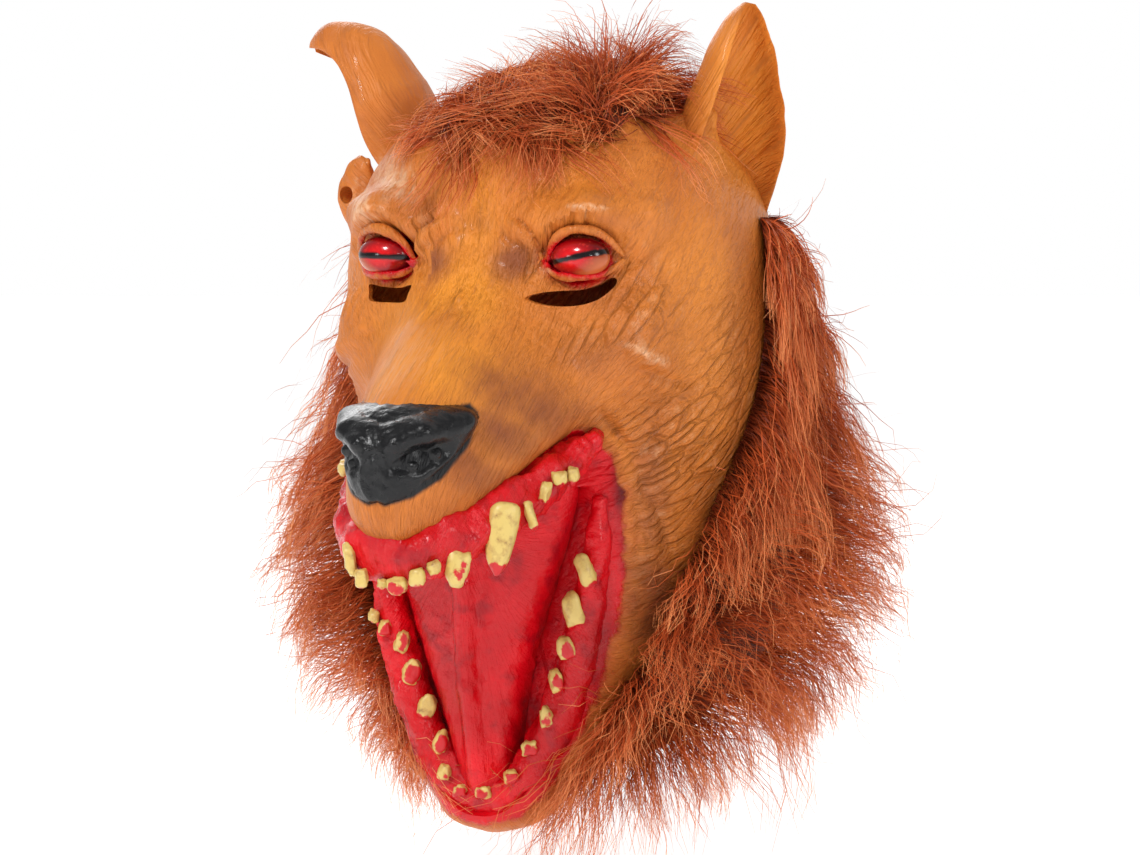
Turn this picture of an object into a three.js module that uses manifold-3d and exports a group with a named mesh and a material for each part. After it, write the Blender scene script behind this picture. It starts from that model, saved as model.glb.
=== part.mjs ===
import * as THREE from "three";
import { mergeVertices } from "three/addons/utils/BufferGeometryUtils.js";
import Module from "manifold-3d";

// A rubber wolf mask with fur on its crown, sides and nape. Millimetres, +Z up, the snout points to -Y.
// Everything is laid out from the level of the eyes and the plane of the ears, on the mask's middle line,
// and the finished group is moved so that its origin is the seat that rests on the wearer's head.

const wasm = await Module();
wasm.setup();

// Head of the rubber casting
const headWidth = 190;
const faceReach = 82;
const napeReach = 93;
const crownHeight = 76.5;
const wall = 2.2;
const neckDrop = 228;
const napeRise = 58;

// Snout and jaws
const snoutReach = 172;
const snoutWidth = 104;
const snoutDrop = 112;
const noseWidth = 58;
const chinDrop = 252;
const jawWidth = 142;
const mouthWidth = 124;
const mouthDepth = 18;
const tongueWidth = 66;
const gumThickness = 26;
const toothLength = 13;
const toothWidth = 11;

// Eyes and the slits that the wearer looks through
const eyeSpacing = 93;
const eyeLevel = 1;
const eyeWidth = 27;
const eyeHeight = 19;
const slitWidth = 34;
const slitHeight = 9;
const slitLevel = -15;
const slitSpacing = 88;

// Ears
const earLength = 92;
const earWidth = 60;
const earWall = 3;
const earInset = 7;
const earSpacing = headWidth - 2 * earInset;
const lobeHole = 7;

// Fur and the small space between pieces that touch
const furEdge = 4;
const maneDepth = 56;
const maneFall = 20;
const crownDepth = 12;
const lockLength = 30;
const lockThickness = 16;
const clearance = 0.35;

// Steps of the surface
const around = 40;
const rings = 22;
const ringGather = 1.2;

const degrees = Math.PI / 180;
const halfHead = headWidth / 2;
const levelAt = (share) => share * (share > 0 ? crownHeight : chinDrop);
const reachAt = (share) => share * (share < 0 ? faceReach : napeReach);

// Level sections of the head, from the neck to the crown: shares of the heights, the half width and the reaches
const headSections = [
  { level: -0.92, wide: 0.65, front: -0.27, back: 0.67, square: 2.2 },
  { level: -0.81, wide: 0.7, front: -0.42, back: 0.7, square: 2.2 },
  { level: -0.71, wide: 0.75, front: -0.6, back: 0.75, square: 2.2 },
  { level: -0.555, wide: 0.83, front: -0.78, back: 0.82, square: 2.3 },
  { level: -0.4, wide: 0.91, front: -0.86, back: 0.9, square: 2.3 },
  { level: -0.24, wide: 0.97, front: -0.94, back: 0.97, square: 2.4 },
  { level: -0.08, wide: 1, front: -1, back: 1, square: 2.4 },
  { level: 0.1, wide: 0.98, front: -0.98, back: 1, square: 2.4 },
  { level: 0.39, wide: 0.91, front: -0.94, back: 0.96, square: 2.4 },
  { level: 0.65, wide: 0.77, front: -0.84, back: 0.84, square: 2.3 },
  { level: 0.84, wide: 0.58, front: -0.66, back: 0.67, square: 2.2 },
  { level: 0.94, wide: 0.36, front: -0.41, back: 0.45, square: 2.1 },
  { level: 1, wide: 0.08, front: -0.05, back: 0.15, square: 2 },
];

// Level sections of the lower jaw, from the chin up to its hinge
const jawSections = [
  { level: -1, wide: 0.08, front: -0.83, back: -0.68, square: 2 },
  { level: -0.985, wide: 0.25, front: -0.93, back: -0.59, square: 2.2 },
  { level: -0.945, wide: 0.41, front: -0.98, back: -0.44, square: 2.4 },
  { level: -0.853, wide: 0.61, front: -1, back: -0.29, square: 2.4 },
  { level: -0.714, wide: 0.8, front: -0.99, back: -0.12, square: 2.4 },
  { level: -0.556, wide: 0.97, front: -0.95, back: 0.06, square: 2.7 },
  { level: -0.397, wide: 1, front: -0.88, back: 0.21, square: 2.8 },
  { level: -0.278, wide: 0.92, front: -0.76, back: 0.21, square: 2.6 },
];

// Upright sections of the snout, from the tip back into the face: shares of its reach, half width and drop
const snoutSections = [
  { reach: -1, wide: 0.14, low: -0.93, high: -0.69, square: 2.2, taper: 0 },
  { reach: -0.98, wide: 0.26, low: -0.99, high: -0.6, square: 2.3, taper: 0.05 },
  { reach: -0.93, wide: 0.4, low: -1.03, high: -0.545, square: 2.4, taper: 0.1 },
  { reach: -0.85, wide: 0.53, low: -1.02, high: -0.445, square: 2.5, taper: 0.15 },
  { reach: -0.727, wide: 0.68, low: -0.93, high: -0.31, square: 2.5, taper: 0.22 },
  { reach: -0.58, wide: 0.82, low: -0.82, high: -0.14, square: 2.4, taper: 0.3 },
  { reach: -0.45, wide: 0.93, low: -0.75, high: 0.03, square: 2.2, taper: 0.36 },
  { reach: -0.29, wide: 1, low: -0.71, high: 0.12, square: 2.2, taper: 0.36 },
  { reach: -0.12, wide: 1, low: -0.7, high: 0.14, square: 2.2, taper: 0.36 },
];

// Upright sections of the nose pad, from its tip back along the sides of the snout
const noseSections = [
  { reach: -1.012, wide: 0.2, low: -0.86, high: -0.68, square: 2.2 },
  { reach: -0.988, wide: 0.44, low: -0.885, high: -0.595, square: 2.4 },
  { reach: -0.948, wide: 0.68, low: -0.85, high: -0.535, square: 2.5 },
  { reach: -0.884, wide: 0.9, low: -0.77, high: -0.5, square: 2.5 },
  { reach: -0.82, wide: 1, low: -0.69, high: -0.5, square: 2.3 },
  { reach: -0.775, wide: 0.97, low: -0.63, high: -0.54, square: 2 },
];

// Level sections of the tongue, from its tip up to its root
const tongueSections = [
  { level: -0.937, wide: 0.18, front: -0.93, back: -0.6, square: 2 },
  { level: -0.913, wide: 0.33, front: -0.98, back: -0.6, square: 2.2 },
  { level: -0.853, wide: 0.43, front: -1.01, back: -0.6, square: 2.3 },
  { level: -0.734, wide: 0.58, front: -1.05, back: -0.6, square: 2.4 },
  { level: -0.595, wide: 0.84, front: -1.1, back: -0.6, square: 2.4 },
  { level: -0.484, wide: 1.05, front: -1.12, back: -0.6, square: 2.4 },
  { level: -0.4, wide: 1.2, front: -1.1, back: -0.6, square: 2.2 },
];

// Edge of the open mouth seen from the front, from the chin up to the corner and the middle
const mouthEdge = [
  { wide: 0, level: -0.964 },
  { wide: 0.25, level: -0.948 },
  { wide: 0.47, level: -0.889 },
  { wide: 0.68, level: -0.79 },
  { wide: 0.855, level: -0.683 },
  { wide: 0.97, level: -0.579 },
  { wide: 1, level: -0.476 },
  { wide: 0.985, level: -0.397 },
  { wide: 0.92, level: -0.333 },
  { wide: 0.8, level: -0.294 },
  { wide: 0.64, level: -0.262 },
  { wide: 0, level: -0.238 },
];

// Points of the brow, the gums and the lids as shares of the sizes that carry them, each with a radius
const browRidge = [
  { wide: 0.2, reach: -0.93, level: 0.12, radius: 5 },
  { wide: 0.34, reach: -0.93, level: 0.2, radius: 6 },
  { wide: 0.53, reach: -0.9, level: 0.27, radius: 6 },
  { wide: 0.74, reach: -0.7, level: 0.24, radius: 5 },
];
const upperGum = [
  { wide: 1, reach: -0.4, drop: -0.66, radius: 0.5 },
  { wide: 0.9, reach: -0.49, drop: -0.75, radius: 0.72 },
  { wide: 0.74, reach: -0.62, drop: -0.86, radius: 0.86 },
  { wide: 0.52, reach: -0.77, drop: -0.965, radius: 0.96 },
  { wide: 0.28, reach: -0.87, drop: -1.04, radius: 1 },
  { wide: 0, reach: -0.905, drop: -1.065, radius: 1 },
];
const lowerGum = [
  { wide: 0.8, reach: -0.84, level: -0.4, radius: 0.32 },
  { wide: 0.79, reach: -0.9, level: -0.516, radius: 0.36 },
  { wide: 0.7, reach: -0.93, level: -0.635, radius: 0.38 },
  { wide: 0.57, reach: -0.94, level: -0.746, radius: 0.38 },
  { wide: 0.4, reach: -0.94, level: -0.841, radius: 0.38 },
  { wide: 0.22, reach: -0.93, level: -0.9, radius: 0.36 },
  { wide: 0, reach: -0.93, level: -0.92, radius: 0.36 },
];
const upperLid = [
  { side: -1.2, back: 0.3, up: -0.3, radius: 0.18 },
  { side: -0.66, back: -0.12, up: 0.86, radius: 0.32 },
  { side: 0.1, back: -0.1, up: 1.2, radius: 0.36 },
  { side: 0.85, back: 0.22, up: 0.85, radius: 0.3 },
  { side: 1.35, back: 0.85, up: -0.05, radius: 0.18 },
];
const lowerLid = [
  { side: -1.2, back: 0.35, up: -0.35, radius: 0.16 },
  { side: -0.62, back: 0.02, up: -0.95, radius: 0.24 },
  { side: 0.1, back: 0.05, up: -1.12, radius: 0.26 },
  { side: 0.85, back: 0.35, up: -0.85, radius: 0.24 },
  { side: 1.35, back: 0.9, up: -0.1, radius: 0.16 },
];

// Teeth along the gums: where on the gum, from its corner to its middle, with their length and width
const upperTeeth = [
  { along: 0.2, length: 0.5, width: 1.3 },
  { along: 0.36, length: 0.7, width: 0.8 },
  { along: 0.5, length: 1.9, width: 1.15 },
  { along: 0.72, length: 1.1, width: 1.05 },
  { along: 0.85, length: 0.5, width: 0.9 },
  { along: 0.95, length: 0.45, width: 0.8 },
];
const lowerTeeth = [
  { along: 0.14, length: 0.4, width: 1.1 },
  { along: 0.28, length: 0.4, width: 1.1 },
  { along: 0.42, length: 0.35, width: 1 },
  { along: 0.56, length: 0.35, width: 0.95 },
  { along: 0.7, length: 0.35, width: 0.9 },
  { along: 0.83, length: 0.5, width: 1 },
  { along: 0.94, length: 0.4, width: 0.9 },
];

const clamp = (value, low, high) => Math.min(Math.max(value, low), high);

// Smooth union of two distances over a width, and the smooth overlap of two
function join(a, b, width) {
  const blend = clamp(0.5 + (0.5 * (b - a)) / width, 0, 1);
  return b * (1 - blend) + a * blend - width * blend * (1 - blend);
}
const meet = (a, b, width) => -join(-a, -b, width);

// Smooth curve through the columns of a table, by the first column
function curveThrough(rows) {
  const at = rows.map((row) => row[0]);
  const slopes = rows.map((row, i) => {
    const before = Math.max(i - 1, 0);
    const after = Math.min(i + 1, rows.length - 1);
    const chord = (j) => (rows[j + 1].map((v, c) => (v - rows[j][c]) / (at[j + 1] - at[j])));
    if (i === 0) return chord(0);
    if (i === rows.length - 1) return chord(i - 1);
    const left = chord(before);
    const right = chord(after - 1);
    return left.map((v, c) => (v + right[c]) / 2);
  });
  return (station) => {
    const s = clamp(station, at[0], at[at.length - 1]);
    let i = 0;
    while (i < at.length - 2 && s > at[i + 1]) i += 1;
    const step = at[i + 1] - at[i];
    const u = (s - at[i]) / step;
    const a = (1 + 2 * u) * (1 - u) ** 2;
    const b = u * (1 - u) ** 2 * step;
    const c = u * u * (3 - 2 * u);
    const d = u * u * (u - 1) * step;
    return rows[i].map((v, k) => a * v + b * slopes[i][k] + c * rows[i + 1][k] + d * slopes[i + 1][k]);
  };
}

// Body of rounded rectangles along an axis: rows of station, half width, low, high, squareness and taper
function sectionBody(rows) {
  const curve = curveThrough(rows);
  const first = rows[0][0];
  const last = rows[rows.length - 1][0];
  return (station, across, other) => {
    const [, width, low, high, square, taper] = curve(station);
    const half = Math.max((high - low) / 2, 0.5);
    const height = (other - (low + high) / 2) / half;
    const halfWidth = Math.max(width * (1 - taper * clamp(height, -1, 1)), 0.5);
    const sum = (Math.abs(across) / halfWidth) ** square + Math.abs(height) ** square;
    const side = (sum ** (1 / square) - 1) * Math.min(halfWidth, half);
    return Math.max(side, first - station, station - last);
  };
}

const levelBody = (sections, halfWidth) =>
  sectionBody(sections.map((s) => [levelAt(s.level), s.wide * halfWidth, reachAt(s.front), reachAt(s.back), s.square, 0]));
const reachBody = (sections, halfWidth) =>
  sectionBody(sections.map((s) => [s.reach * snoutReach, s.wide * halfWidth, s.low * snoutDrop, s.high * snoutDrop, s.square, s.taper]));

const headBody = levelBody(headSections, halfHead);
const jawBody = levelBody(jawSections, jawWidth / 2);
const snoutBody = reachBody(snoutSections, snoutWidth / 2);

// Distance from a chain of rounded cones
function chain(points, width) {
  return (x, y, z) => {
    let nearest = Infinity;
    for (let i = 0; i < points.length - 1; i += 1) {
      const a = points[i];
      const b = points[i + 1];
      const d = [b[0] - a[0], b[1] - a[1], b[2] - a[2]];
      const p = [x - a[0], y - a[1], z - a[2]];
      const h = clamp((p[0] * d[0] + p[1] * d[1] + p[2] * d[2]) / (d[0] ** 2 + d[1] ** 2 + d[2] ** 2), 0, 1);
      const gap = Math.hypot(p[0] - h * d[0], p[1] - h * d[1], p[2] - h * d[2]) - (a[3] + (b[3] - a[3]) * h);
      nearest = nearest === Infinity ? gap : join(nearest, gap, width);
    }
    return nearest;
  };
}
const brow = chain(browRidge.map((p) => [p.wide * halfHead, reachAt(p.reach), levelAt(p.level), p.radius]), 8);

// Distance from a ball stretched along the axes
function ball(centre, radii) {
  return (x, y, z) => {
    const q = [(x - centre[0]) / radii[0], (y - centre[1]) / radii[1], (z - centre[2]) / radii[2]];
    const size = Math.hypot(...q);
    return (size * (size - 1)) / Math.max(Math.hypot(q[0] / radii[0], q[1] / radii[1], q[2] / radii[2]), 1e-6);
  };
}
const jawBlend = 14;
const snoutBlend = 18;
const cheekBlend = 18;
const browBlend = 14;
const cheek = ball([0.6 * halfHead, -0.71 * faceReach, -0.142 * chinDrop], [0.2 * halfHead, 0.2 * faceReach, 0.08 * chinDrop]);

// Outer form of the head, snout and jaw: negative inside, about a distance in millimetres near the surface
function castingForm(px, y, z) {
  const x = Math.abs(px);
  let form = headBody(z, x, y);
  form = join(form, jawBody(z, x, y), jawBlend);
  form = join(form, snoutBody(y, x, z), snoutBlend);
  form = join(form, cheek(x, y, z), cheekBlend);
  return join(form, brow(x, y, z), browBlend);
}

// The surface is found along rays from a middle point that sees all of it
const middle = new THREE.Vector3(0, 0, -0.178 * chinDrop);
const pole = new THREE.Vector3(0, -0.8, -0.6);
const farthest = 1.7 * chinDrop;
const steepness = (x, y, z) => {
  const step = 0.25;
  const here = castingForm(x, y, z);
  return Math.hypot(castingForm(x + step, y, z) - here, castingForm(x, y + step, z) - here, castingForm(x, y, z + step) - here) / step;
};
function surfaceRadius(direction, inset) {
  const depthAt = (radius) => {
    const x = middle.x + direction.x * radius;
    const y = middle.y + direction.y * radius;
    const z = middle.z + direction.z * radius;
    const form = castingForm(x, y, z);
    if (inset === 0 || Math.abs(form) > 8 * Math.abs(inset)) return form;
    return form / Math.max(steepness(x, y, z), 0.2) + inset;
  };
  const step = 3;
  let near = 12;
  while (near < farthest && depthAt(near + step) < 0) near += step;
  let far = near + step;
  for (let i = 0; i < 16; i += 1) {
    const half = (near + far) / 2;
    if (depthAt(half) < 0) near = half;
    else far = half;
  }
  return (near + far) / 2;
}

function plain(geometry) {
  geometry.deleteAttribute("normal");
  geometry.deleteAttribute("uv");
  return mergeVertices(geometry, 1e-4);
}

// Rings of directions gathered towards the snout
const directions = (() => {
  const globe = plain(new THREE.SphereGeometry(1, around, rings));
  const turn = new THREE.Quaternion().setFromUnitVectors(new THREE.Vector3(0, 1, 0), pole.clone().normalize());
  const at = globe.attributes.position;
  for (let i = 0; i < at.count; i += 1) {
    const v = new THREE.Vector3().fromBufferAttribute(at, i);
    const angle = Math.acos(clamp(v.y, -1, 1));
    const gathered = Math.PI * (angle / Math.PI) ** ringGather;
    const flat = Math.hypot(v.x, v.z) || 1;
    v.set((v.x / flat) * Math.sin(gathered), Math.cos(gathered), (v.z / flat) * Math.sin(gathered));
    v.applyQuaternion(turn);
    at.setXYZ(i, v.x, v.y, v.z);
  }
  return globe;
})();

// Closed skin round the casting's form, moved in by an inset or out by a negative one
function skin(inset) {
  const geometry = directions.clone();
  const at = geometry.attributes.position;
  for (let i = 0; i < at.count; i += 1) {
    const v = new THREE.Vector3().fromBufferAttribute(at, i);
    const radius = surfaceRadius(v, inset);
    v.multiplyScalar(radius).add(middle);
    at.setXYZ(i, v.x, v.y, v.z);
  }
  return geometry;
}

function solid(geometry) {
  const mesh = new wasm.Mesh({
    numProp: 3,
    vertProperties: new Float32Array(geometry.attributes.position.array),
    triVerts: new Uint32Array(geometry.index.array),
  });
  return new wasm.Manifold(mesh);
}

// Solid of points and triangles, turned to face outwards
function closedBody(points, faces) {
  const geometry = new THREE.BufferGeometry().setFromPoints(points);
  geometry.setIndex(faces);
  const body = solid(geometry);
  if (body.volume() > 0) return body;
  const turned = [];
  for (let i = 0; i < faces.length; i += 3) turned.push(faces[i + 1], faces[i], faces[i + 2]);
  geometry.setIndex(turned);
  return solid(geometry);
}

// Closed body through rings of points, with a flat fan at each end
function loft(loops) {
  const sides = loops[0].length;
  const points = loops.flat();
  const faces = [];
  for (let i = 0; i < loops.length - 1; i += 1) {
    for (let j = 0; j < sides; j += 1) {
      const a = i * sides + j;
      const b = i * sides + ((j + 1) % sides);
      faces.push(a, b, a + sides, b, b + sides, a + sides);
    }
  }
  [0, loops.length - 1].forEach((end) => {
    const hub = points.length;
    points.push(loops[end].reduce((sum, p) => sum.add(p), new THREE.Vector3()).divideScalar(sides));
    for (let j = 0; j < sides; j += 1) {
      const a = end * sides + j;
      const b = end * sides + ((j + 1) % sides);
      if (end === 0) faces.push(b, a, hub);
      else faces.push(a, b, hub);
    }
  });
  return closedBody(points, faces);
}

// Tube through points with a radius at each, its ends rounded off by a smaller ring
function tube(stops, sides) {
  const path = new THREE.CatmullRomCurve3(stops.map((p) => p.at), false, "centripetal");
  const normal = new THREE.Vector3(0, 0, 1);
  const loops = [];
  const last = stops.length - 1;
  const ring = (at, ahead, radius) => {
    const across = new THREE.Vector3().crossVectors(ahead, normal).normalize();
    const up = new THREE.Vector3().crossVectors(across, ahead).normalize();
    return Array.from({ length: sides }, (_, j) => {
      const turn = (2 * Math.PI * j) / sides;
      return at.clone().addScaledVector(across, radius * Math.cos(turn)).addScaledVector(up, radius * Math.sin(turn));
    });
  };
  stops.forEach((stop, i) => {
    const ahead = path.getTangent(i / last);
    if (i === 0) loops.push(ring(stop.at.clone().addScaledVector(ahead, -0.7 * stop.radius), ahead, 0.6 * stop.radius));
    loops.push(ring(stop.at, ahead, stop.radius));
    if (i === last) loops.push(ring(stop.at.clone().addScaledVector(ahead, 0.7 * stop.radius), ahead, 0.6 * stop.radius));
  });
  return loft(loops);
}

function ellipsoid(centre, radii, grow, steps = 16) {
  const globe = plain(new THREE.SphereGeometry(1, steps, steps / 2));
  globe.scale(radii.x + grow, radii.y + grow, radii.z + grow);
  globe.translate(centre.x, centre.y, centre.z);
  return solid(globe);
}

// Rounded ring of a section: half width, low and high limits, squareness
function sectionRing(width, low, high, square, sides, place) {
  return Array.from({ length: sides }, (_, j) => {
    const turn = (2 * Math.PI * j) / sides;
    const c = Math.cos(turn);
    const s = Math.sin(turn);
    const across = width * Math.sign(c) * Math.abs(c) ** (2 / square);
    const other = (low + high) / 2 + ((high - low) / 2) * Math.sign(s) * Math.abs(s) ** (2 / square);
    return place(across, other);
  });
}

const vector = (x, y, z) => new THREE.Vector3(x, y, z);
const mirror = (v) => vector(-v.x, v.y, v.z);

// Mouth hollow: the open edge is drawn in by its depth and stays under the palate
function mouthHollow(grow) {
  const palate = (y) => 0.3 * (y + 0.85 * faceReach) - 0.875 * snoutDrop + grow;
  const centre = -0.6 * chinDrop;
  const loops = [
    { y: -0.98 * snoutReach, scale: 1 },
    { y: -0.97 * faceReach, scale: 1 },
    { y: mouthDepth - faceReach + grow, scale: 1 - (0.8 * mouthDepth) / (mouthWidth / 2) },
  ];
  return loft(loops.map(({ y, scale }) => {
    const half = mouthEdge.map((p) => {
      const x = p.wide * (mouthWidth / 2 + grow) * scale;
      const z = centre + (levelAt(p.level) - centre) * (scale + (2 * grow) / chinDrop);
      return vector(x, y, Math.min(z, palate(y)));
    });
    return [...half, ...half.slice(1, -1).reverse().map(mirror)];
  }));
}

function tongue(shrink) {
  return loft(tongueSections.map((s) => sectionRing(s.wide * tongueWidth / 2 - shrink, reachAt(s.front) + shrink,
    reachAt(s.back) + shrink, s.square, 10, (across, other) => vector(across, other, levelAt(s.level) + (s.level < -0.9 ? shrink : 0)))));
}

// Gums run from one corner of the mouth round the front to the other
const gumStops = (rows, place, radius) => {
  const right = rows.map((row) => ({ at: place(row), radius: radius(row) }));
  const left = right.slice(0, -1).reverse().map((stop) => ({ at: mirror(stop.at), radius: stop.radius }));
  return [...right, ...left];
};
const upperGumPlace = (p) => vector(p.wide * snoutWidth / 2, p.reach * snoutReach, p.drop * snoutDrop);
const lowerGumPlace = (p) => vector(p.wide * mouthWidth / 2, reachAt(p.reach), levelAt(p.level));
const upperGumBody = (shrink, facets) =>
  tube(gumStops(upperGum, upperGumPlace, (p) => p.radius * gumThickness / 2 - shrink), facets);
const lowerGumBody = () => tube(gumStops(lowerGum, lowerGumPlace, (p) => p.radius * gumThickness / 2), 6);

// A tooth is a short cone that leaves the gum along a direction
function tooth(root, way, length, width) {
  const tip = root.clone().addScaledVector(way, length);
  const shoulder = root.clone().lerp(tip, 0.7);
  const across = new THREE.Vector3().crossVectors(way, vector(0, 1, 0.2)).normalize();
  const other = new THREE.Vector3().crossVectors(across, way).normalize();
  const ring = (at, radius) => Array.from({ length: 4 }, (_, j) => {
    const turn = (Math.PI * j) / 2;
    return at.clone().addScaledVector(across, radius * Math.cos(turn)).addScaledVector(other, 0.8 * radius * Math.sin(turn));
  });
  return loft([ring(root, 0.4 * width), ring(shoulder, 0.5 * width), ring(tip, 0.2 * width)]);
}
function teeth(rows, gum, place, way, share) {
  const path = new THREE.CatmullRomCurve3(gum.map(place), false, "centripetal");
  return rows.flatMap((row) => {
    const root = path.getPoint(row.along);
    const length = row.length * toothLength + share * gumThickness / 2;
    const width = row.width * toothWidth;
    const right = tooth(root, way(row), length, width);
    const left = tooth(mirror(root), mirror(way(row)), length, width);
    return [right, left];
  });
}

// Nose pad over the tip of the snout
const nosePad = loft(noseSections.map((s) => sectionRing(s.wide * noseWidth / 2, s.low * snoutDrop, s.high * snoutDrop,
  s.square, 12, (across, other) => vector(across, s.reach * snoutReach, other))));
const nostrilPlace = (side) => vector(side * 0.45 * noseWidth / 2, -0.985 * snoutReach, -0.745 * snoutDrop);
const nostrilRadii = vector(0.13 * noseWidth, 0.07 * noseWidth, 0.085 * noseWidth);
const philtrum = (grow) => tube([
  { at: vector(0, -1.02 * snoutReach, -0.74 * snoutDrop), radius: 2 + grow },
  { at: vector(0, -1.012 * snoutReach, -0.86 * snoutDrop), radius: 2.4 + grow },
  { at: vector(0, -1.012 * snoutReach, -0.98 * snoutDrop), radius: 1.6 + grow },
], 6);

// Eye domes in their sockets, and the lids round them
const eyePlace = vector(eyeSpacing / 2, -0.93 * faceReach, eyeLevel);
const eyeRadii = vector(eyeWidth / 2, eyeWidth * 0.36, eyeHeight / 2);
const lidBody = (rows, side) => tube(rows.map((p) => ({
  at: vector(side * (eyePlace.x + p.side * eyeWidth / 2), eyePlace.y + p.back * eyeWidth / 2,
    eyePlace.z + p.up * eyeHeight / 2),
  radius: p.radius * eyeHeight / 2,
})), 6);

// Crescents of a cupped ear from the root to the tip: share of its width, and degrees to each side that it wraps
const earSections = [
  { wide: 1.08, open: 70 },
  { wide: 1, open: 95 },
  { wide: 0.84, open: 105 },
  { wide: 0.62, open: 108 },
  { wide: 0.43, open: 108 },
  { wide: 0.25, open: 105 },
  { wide: 0.11, open: 100 },
];

// Middle line of each ear from the root to the tip: outward, forward and up, in shares of the ear's length
const uprightEar = [
  { out: -0.02, fore: 0, up: -0.2, swell: 1 },
  { out: 0, fore: 0, up: 0.1, swell: 1 },
  { out: 0.02, fore: 0, up: 0.32, swell: 1 },
  { out: 0.04, fore: 0, up: 0.52, swell: 1 },
  { out: 0.07, fore: 0.01, up: 0.72, swell: 1 },
  { out: 0.09, fore: 0.02, up: 0.87, swell: 1 },
  { out: 0.1, fore: 0.02, up: 0.96, swell: 1 },
];
const bentEar = [
  { out: 0.04, fore: 0, up: -0.2, swell: 1 },
  { out: 0.08, fore: 0, up: 0.1, swell: 1.05 },
  { out: 0.13, fore: 0.02, up: 0.32, swell: 1.12 },
  { out: 0.17, fore: 0.04, up: 0.53, swell: 1.2 },
  { out: 0.25, fore: 0.07, up: 0.7, swell: 1.25 },
  { out: 0.37, fore: 0.09, up: 0.78, swell: 1.2 },
  { out: 0.48, fore: 0.1, up: 0.79, swell: 1.3 },
];
const earFoot = vector(earSpacing / 2 - 0.07 * earLength, 0.1 * napeReach, 0.3 * crownHeight);
const earOpening = vector(Math.cos(0.4), -Math.sin(0.4), 0);

function earBody(line, side, grow) {
  const spots = line.map((p) =>
    earFoot.clone().add(vector(p.out * earLength, -p.fore * earLength, p.up * earLength)));
  const path = new THREE.CatmullRomCurve3(spots, false, "centripetal");
  const facing = earOpening.clone();
  let before = vector(0, 0, 1);
  const loops = spots.map((spot, i) => {
    const ahead = path.getTangent(i / (spots.length - 1));
    facing.applyQuaternion(new THREE.Quaternion().setFromUnitVectors(before, ahead)).normalize();
    before = ahead;
    const edge = new THREE.Vector3().crossVectors(ahead, facing).normalize();
    const section = earSections[i];
    const radius = (section.wide * line[i].swell * earWidth) / 2;
    const point = (turn, size) => {
      const angle = Math.PI + turn * (section.open * degrees + (2 * grow) / radius);
      return spot.clone().addScaledVector(facing, size * Math.cos(angle)).addScaledVector(edge, size * Math.sin(angle));
    };
    const steps = Array.from({ length: 7 }, (_, j) => (j - 3) / 3);
    const inside = Math.max(radius - earWall - grow, 0.25 * radius);
    return [...steps.map((turn) => point(turn, radius + grow)), ...steps.reverse().map((turn) => point(turn, inside))];
  });
  return loft(side > 0 ? loops : loops.map((loop) => loop.map(mirror)));
}

// Small lobe with a hole through it, at the foot of the bent ear
const lobePlace = vector(-0.5 * earSpacing - 3, -0.27 * faceReach, 0.36 * crownHeight);
const lobeRadii = vector(0.95 * lobeHole, 0.8 * lobeHole, 2.5 * lobeHole);
const lobeBore = loft([-1, 1].map((end) => Array.from({ length: 12 }, (_, j) => {
  const turn = (Math.PI * j) / 6;
  const along = 3 * lobeHole * end;
  return vector(lobePlace.x - 2 + 0.3 * along + (lobeHole / 2) * Math.cos(turn), lobePlace.y + along, lobePlace.z + (lobeHole / 2) * Math.sin(turn));
})));

// Outlines of the two hand-cut slits, in shares of their half width and half height
const longSlit = [[-1, -0.3], [-0.72, 0.15], [-0.3, 0.35], [0.15, 0.45], [0.52, 0.9], [0.78, 1.5], [0.95, 1.55],
  [1, 1.1], [0.88, 0.4], [0.6, -0.5], [0.2, -1], [-0.3, -1.1], [-0.72, -0.85]];
const squareSlit = [[-0.78, 0.7], [-0.3, 0.5], [0.3, 0.45], [0.8, 0.75], [0.78, 0], [0.68, -0.85], [0, -1], [-0.66, -0.9], [-0.76, 0]];
function slitCutter(outline, side) {
  const curve = new THREE.CatmullRomCurve3(outline.map(([out, up]) => vector(
    side * (slitSpacing / 2 + (out * slitWidth) / 2), 0, slitLevel + (up * slitHeight) / 2)), true, "centripetal");
  const rim = curve.getPoints(26).slice(0, -1);
  return loft([-1.5 * faceReach, -0.45 * faceReach].map((y) => rim.map((p) => vector(p.x, y, p.z))));
}

// Everything below the neck's rim, which rises from the throat to the nape
const neckCutter = loft([-headWidth, headWidth].map((x) => [
  vector(x, -0.3 * faceReach, -neckDrop),
  vector(x, 1.3 * napeReach, 1.25 * napeRise - neckDrop),
  vector(x, 1.3 * napeReach, -1.3 * chinDrop),
  vector(x, -0.3 * faceReach, -1.3 * chinDrop),
]));

const sides = [1, -1];
const eyeAt = (side) => vector(side * eyePlace.x, eyePlace.y, eyePlace.z);

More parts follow.
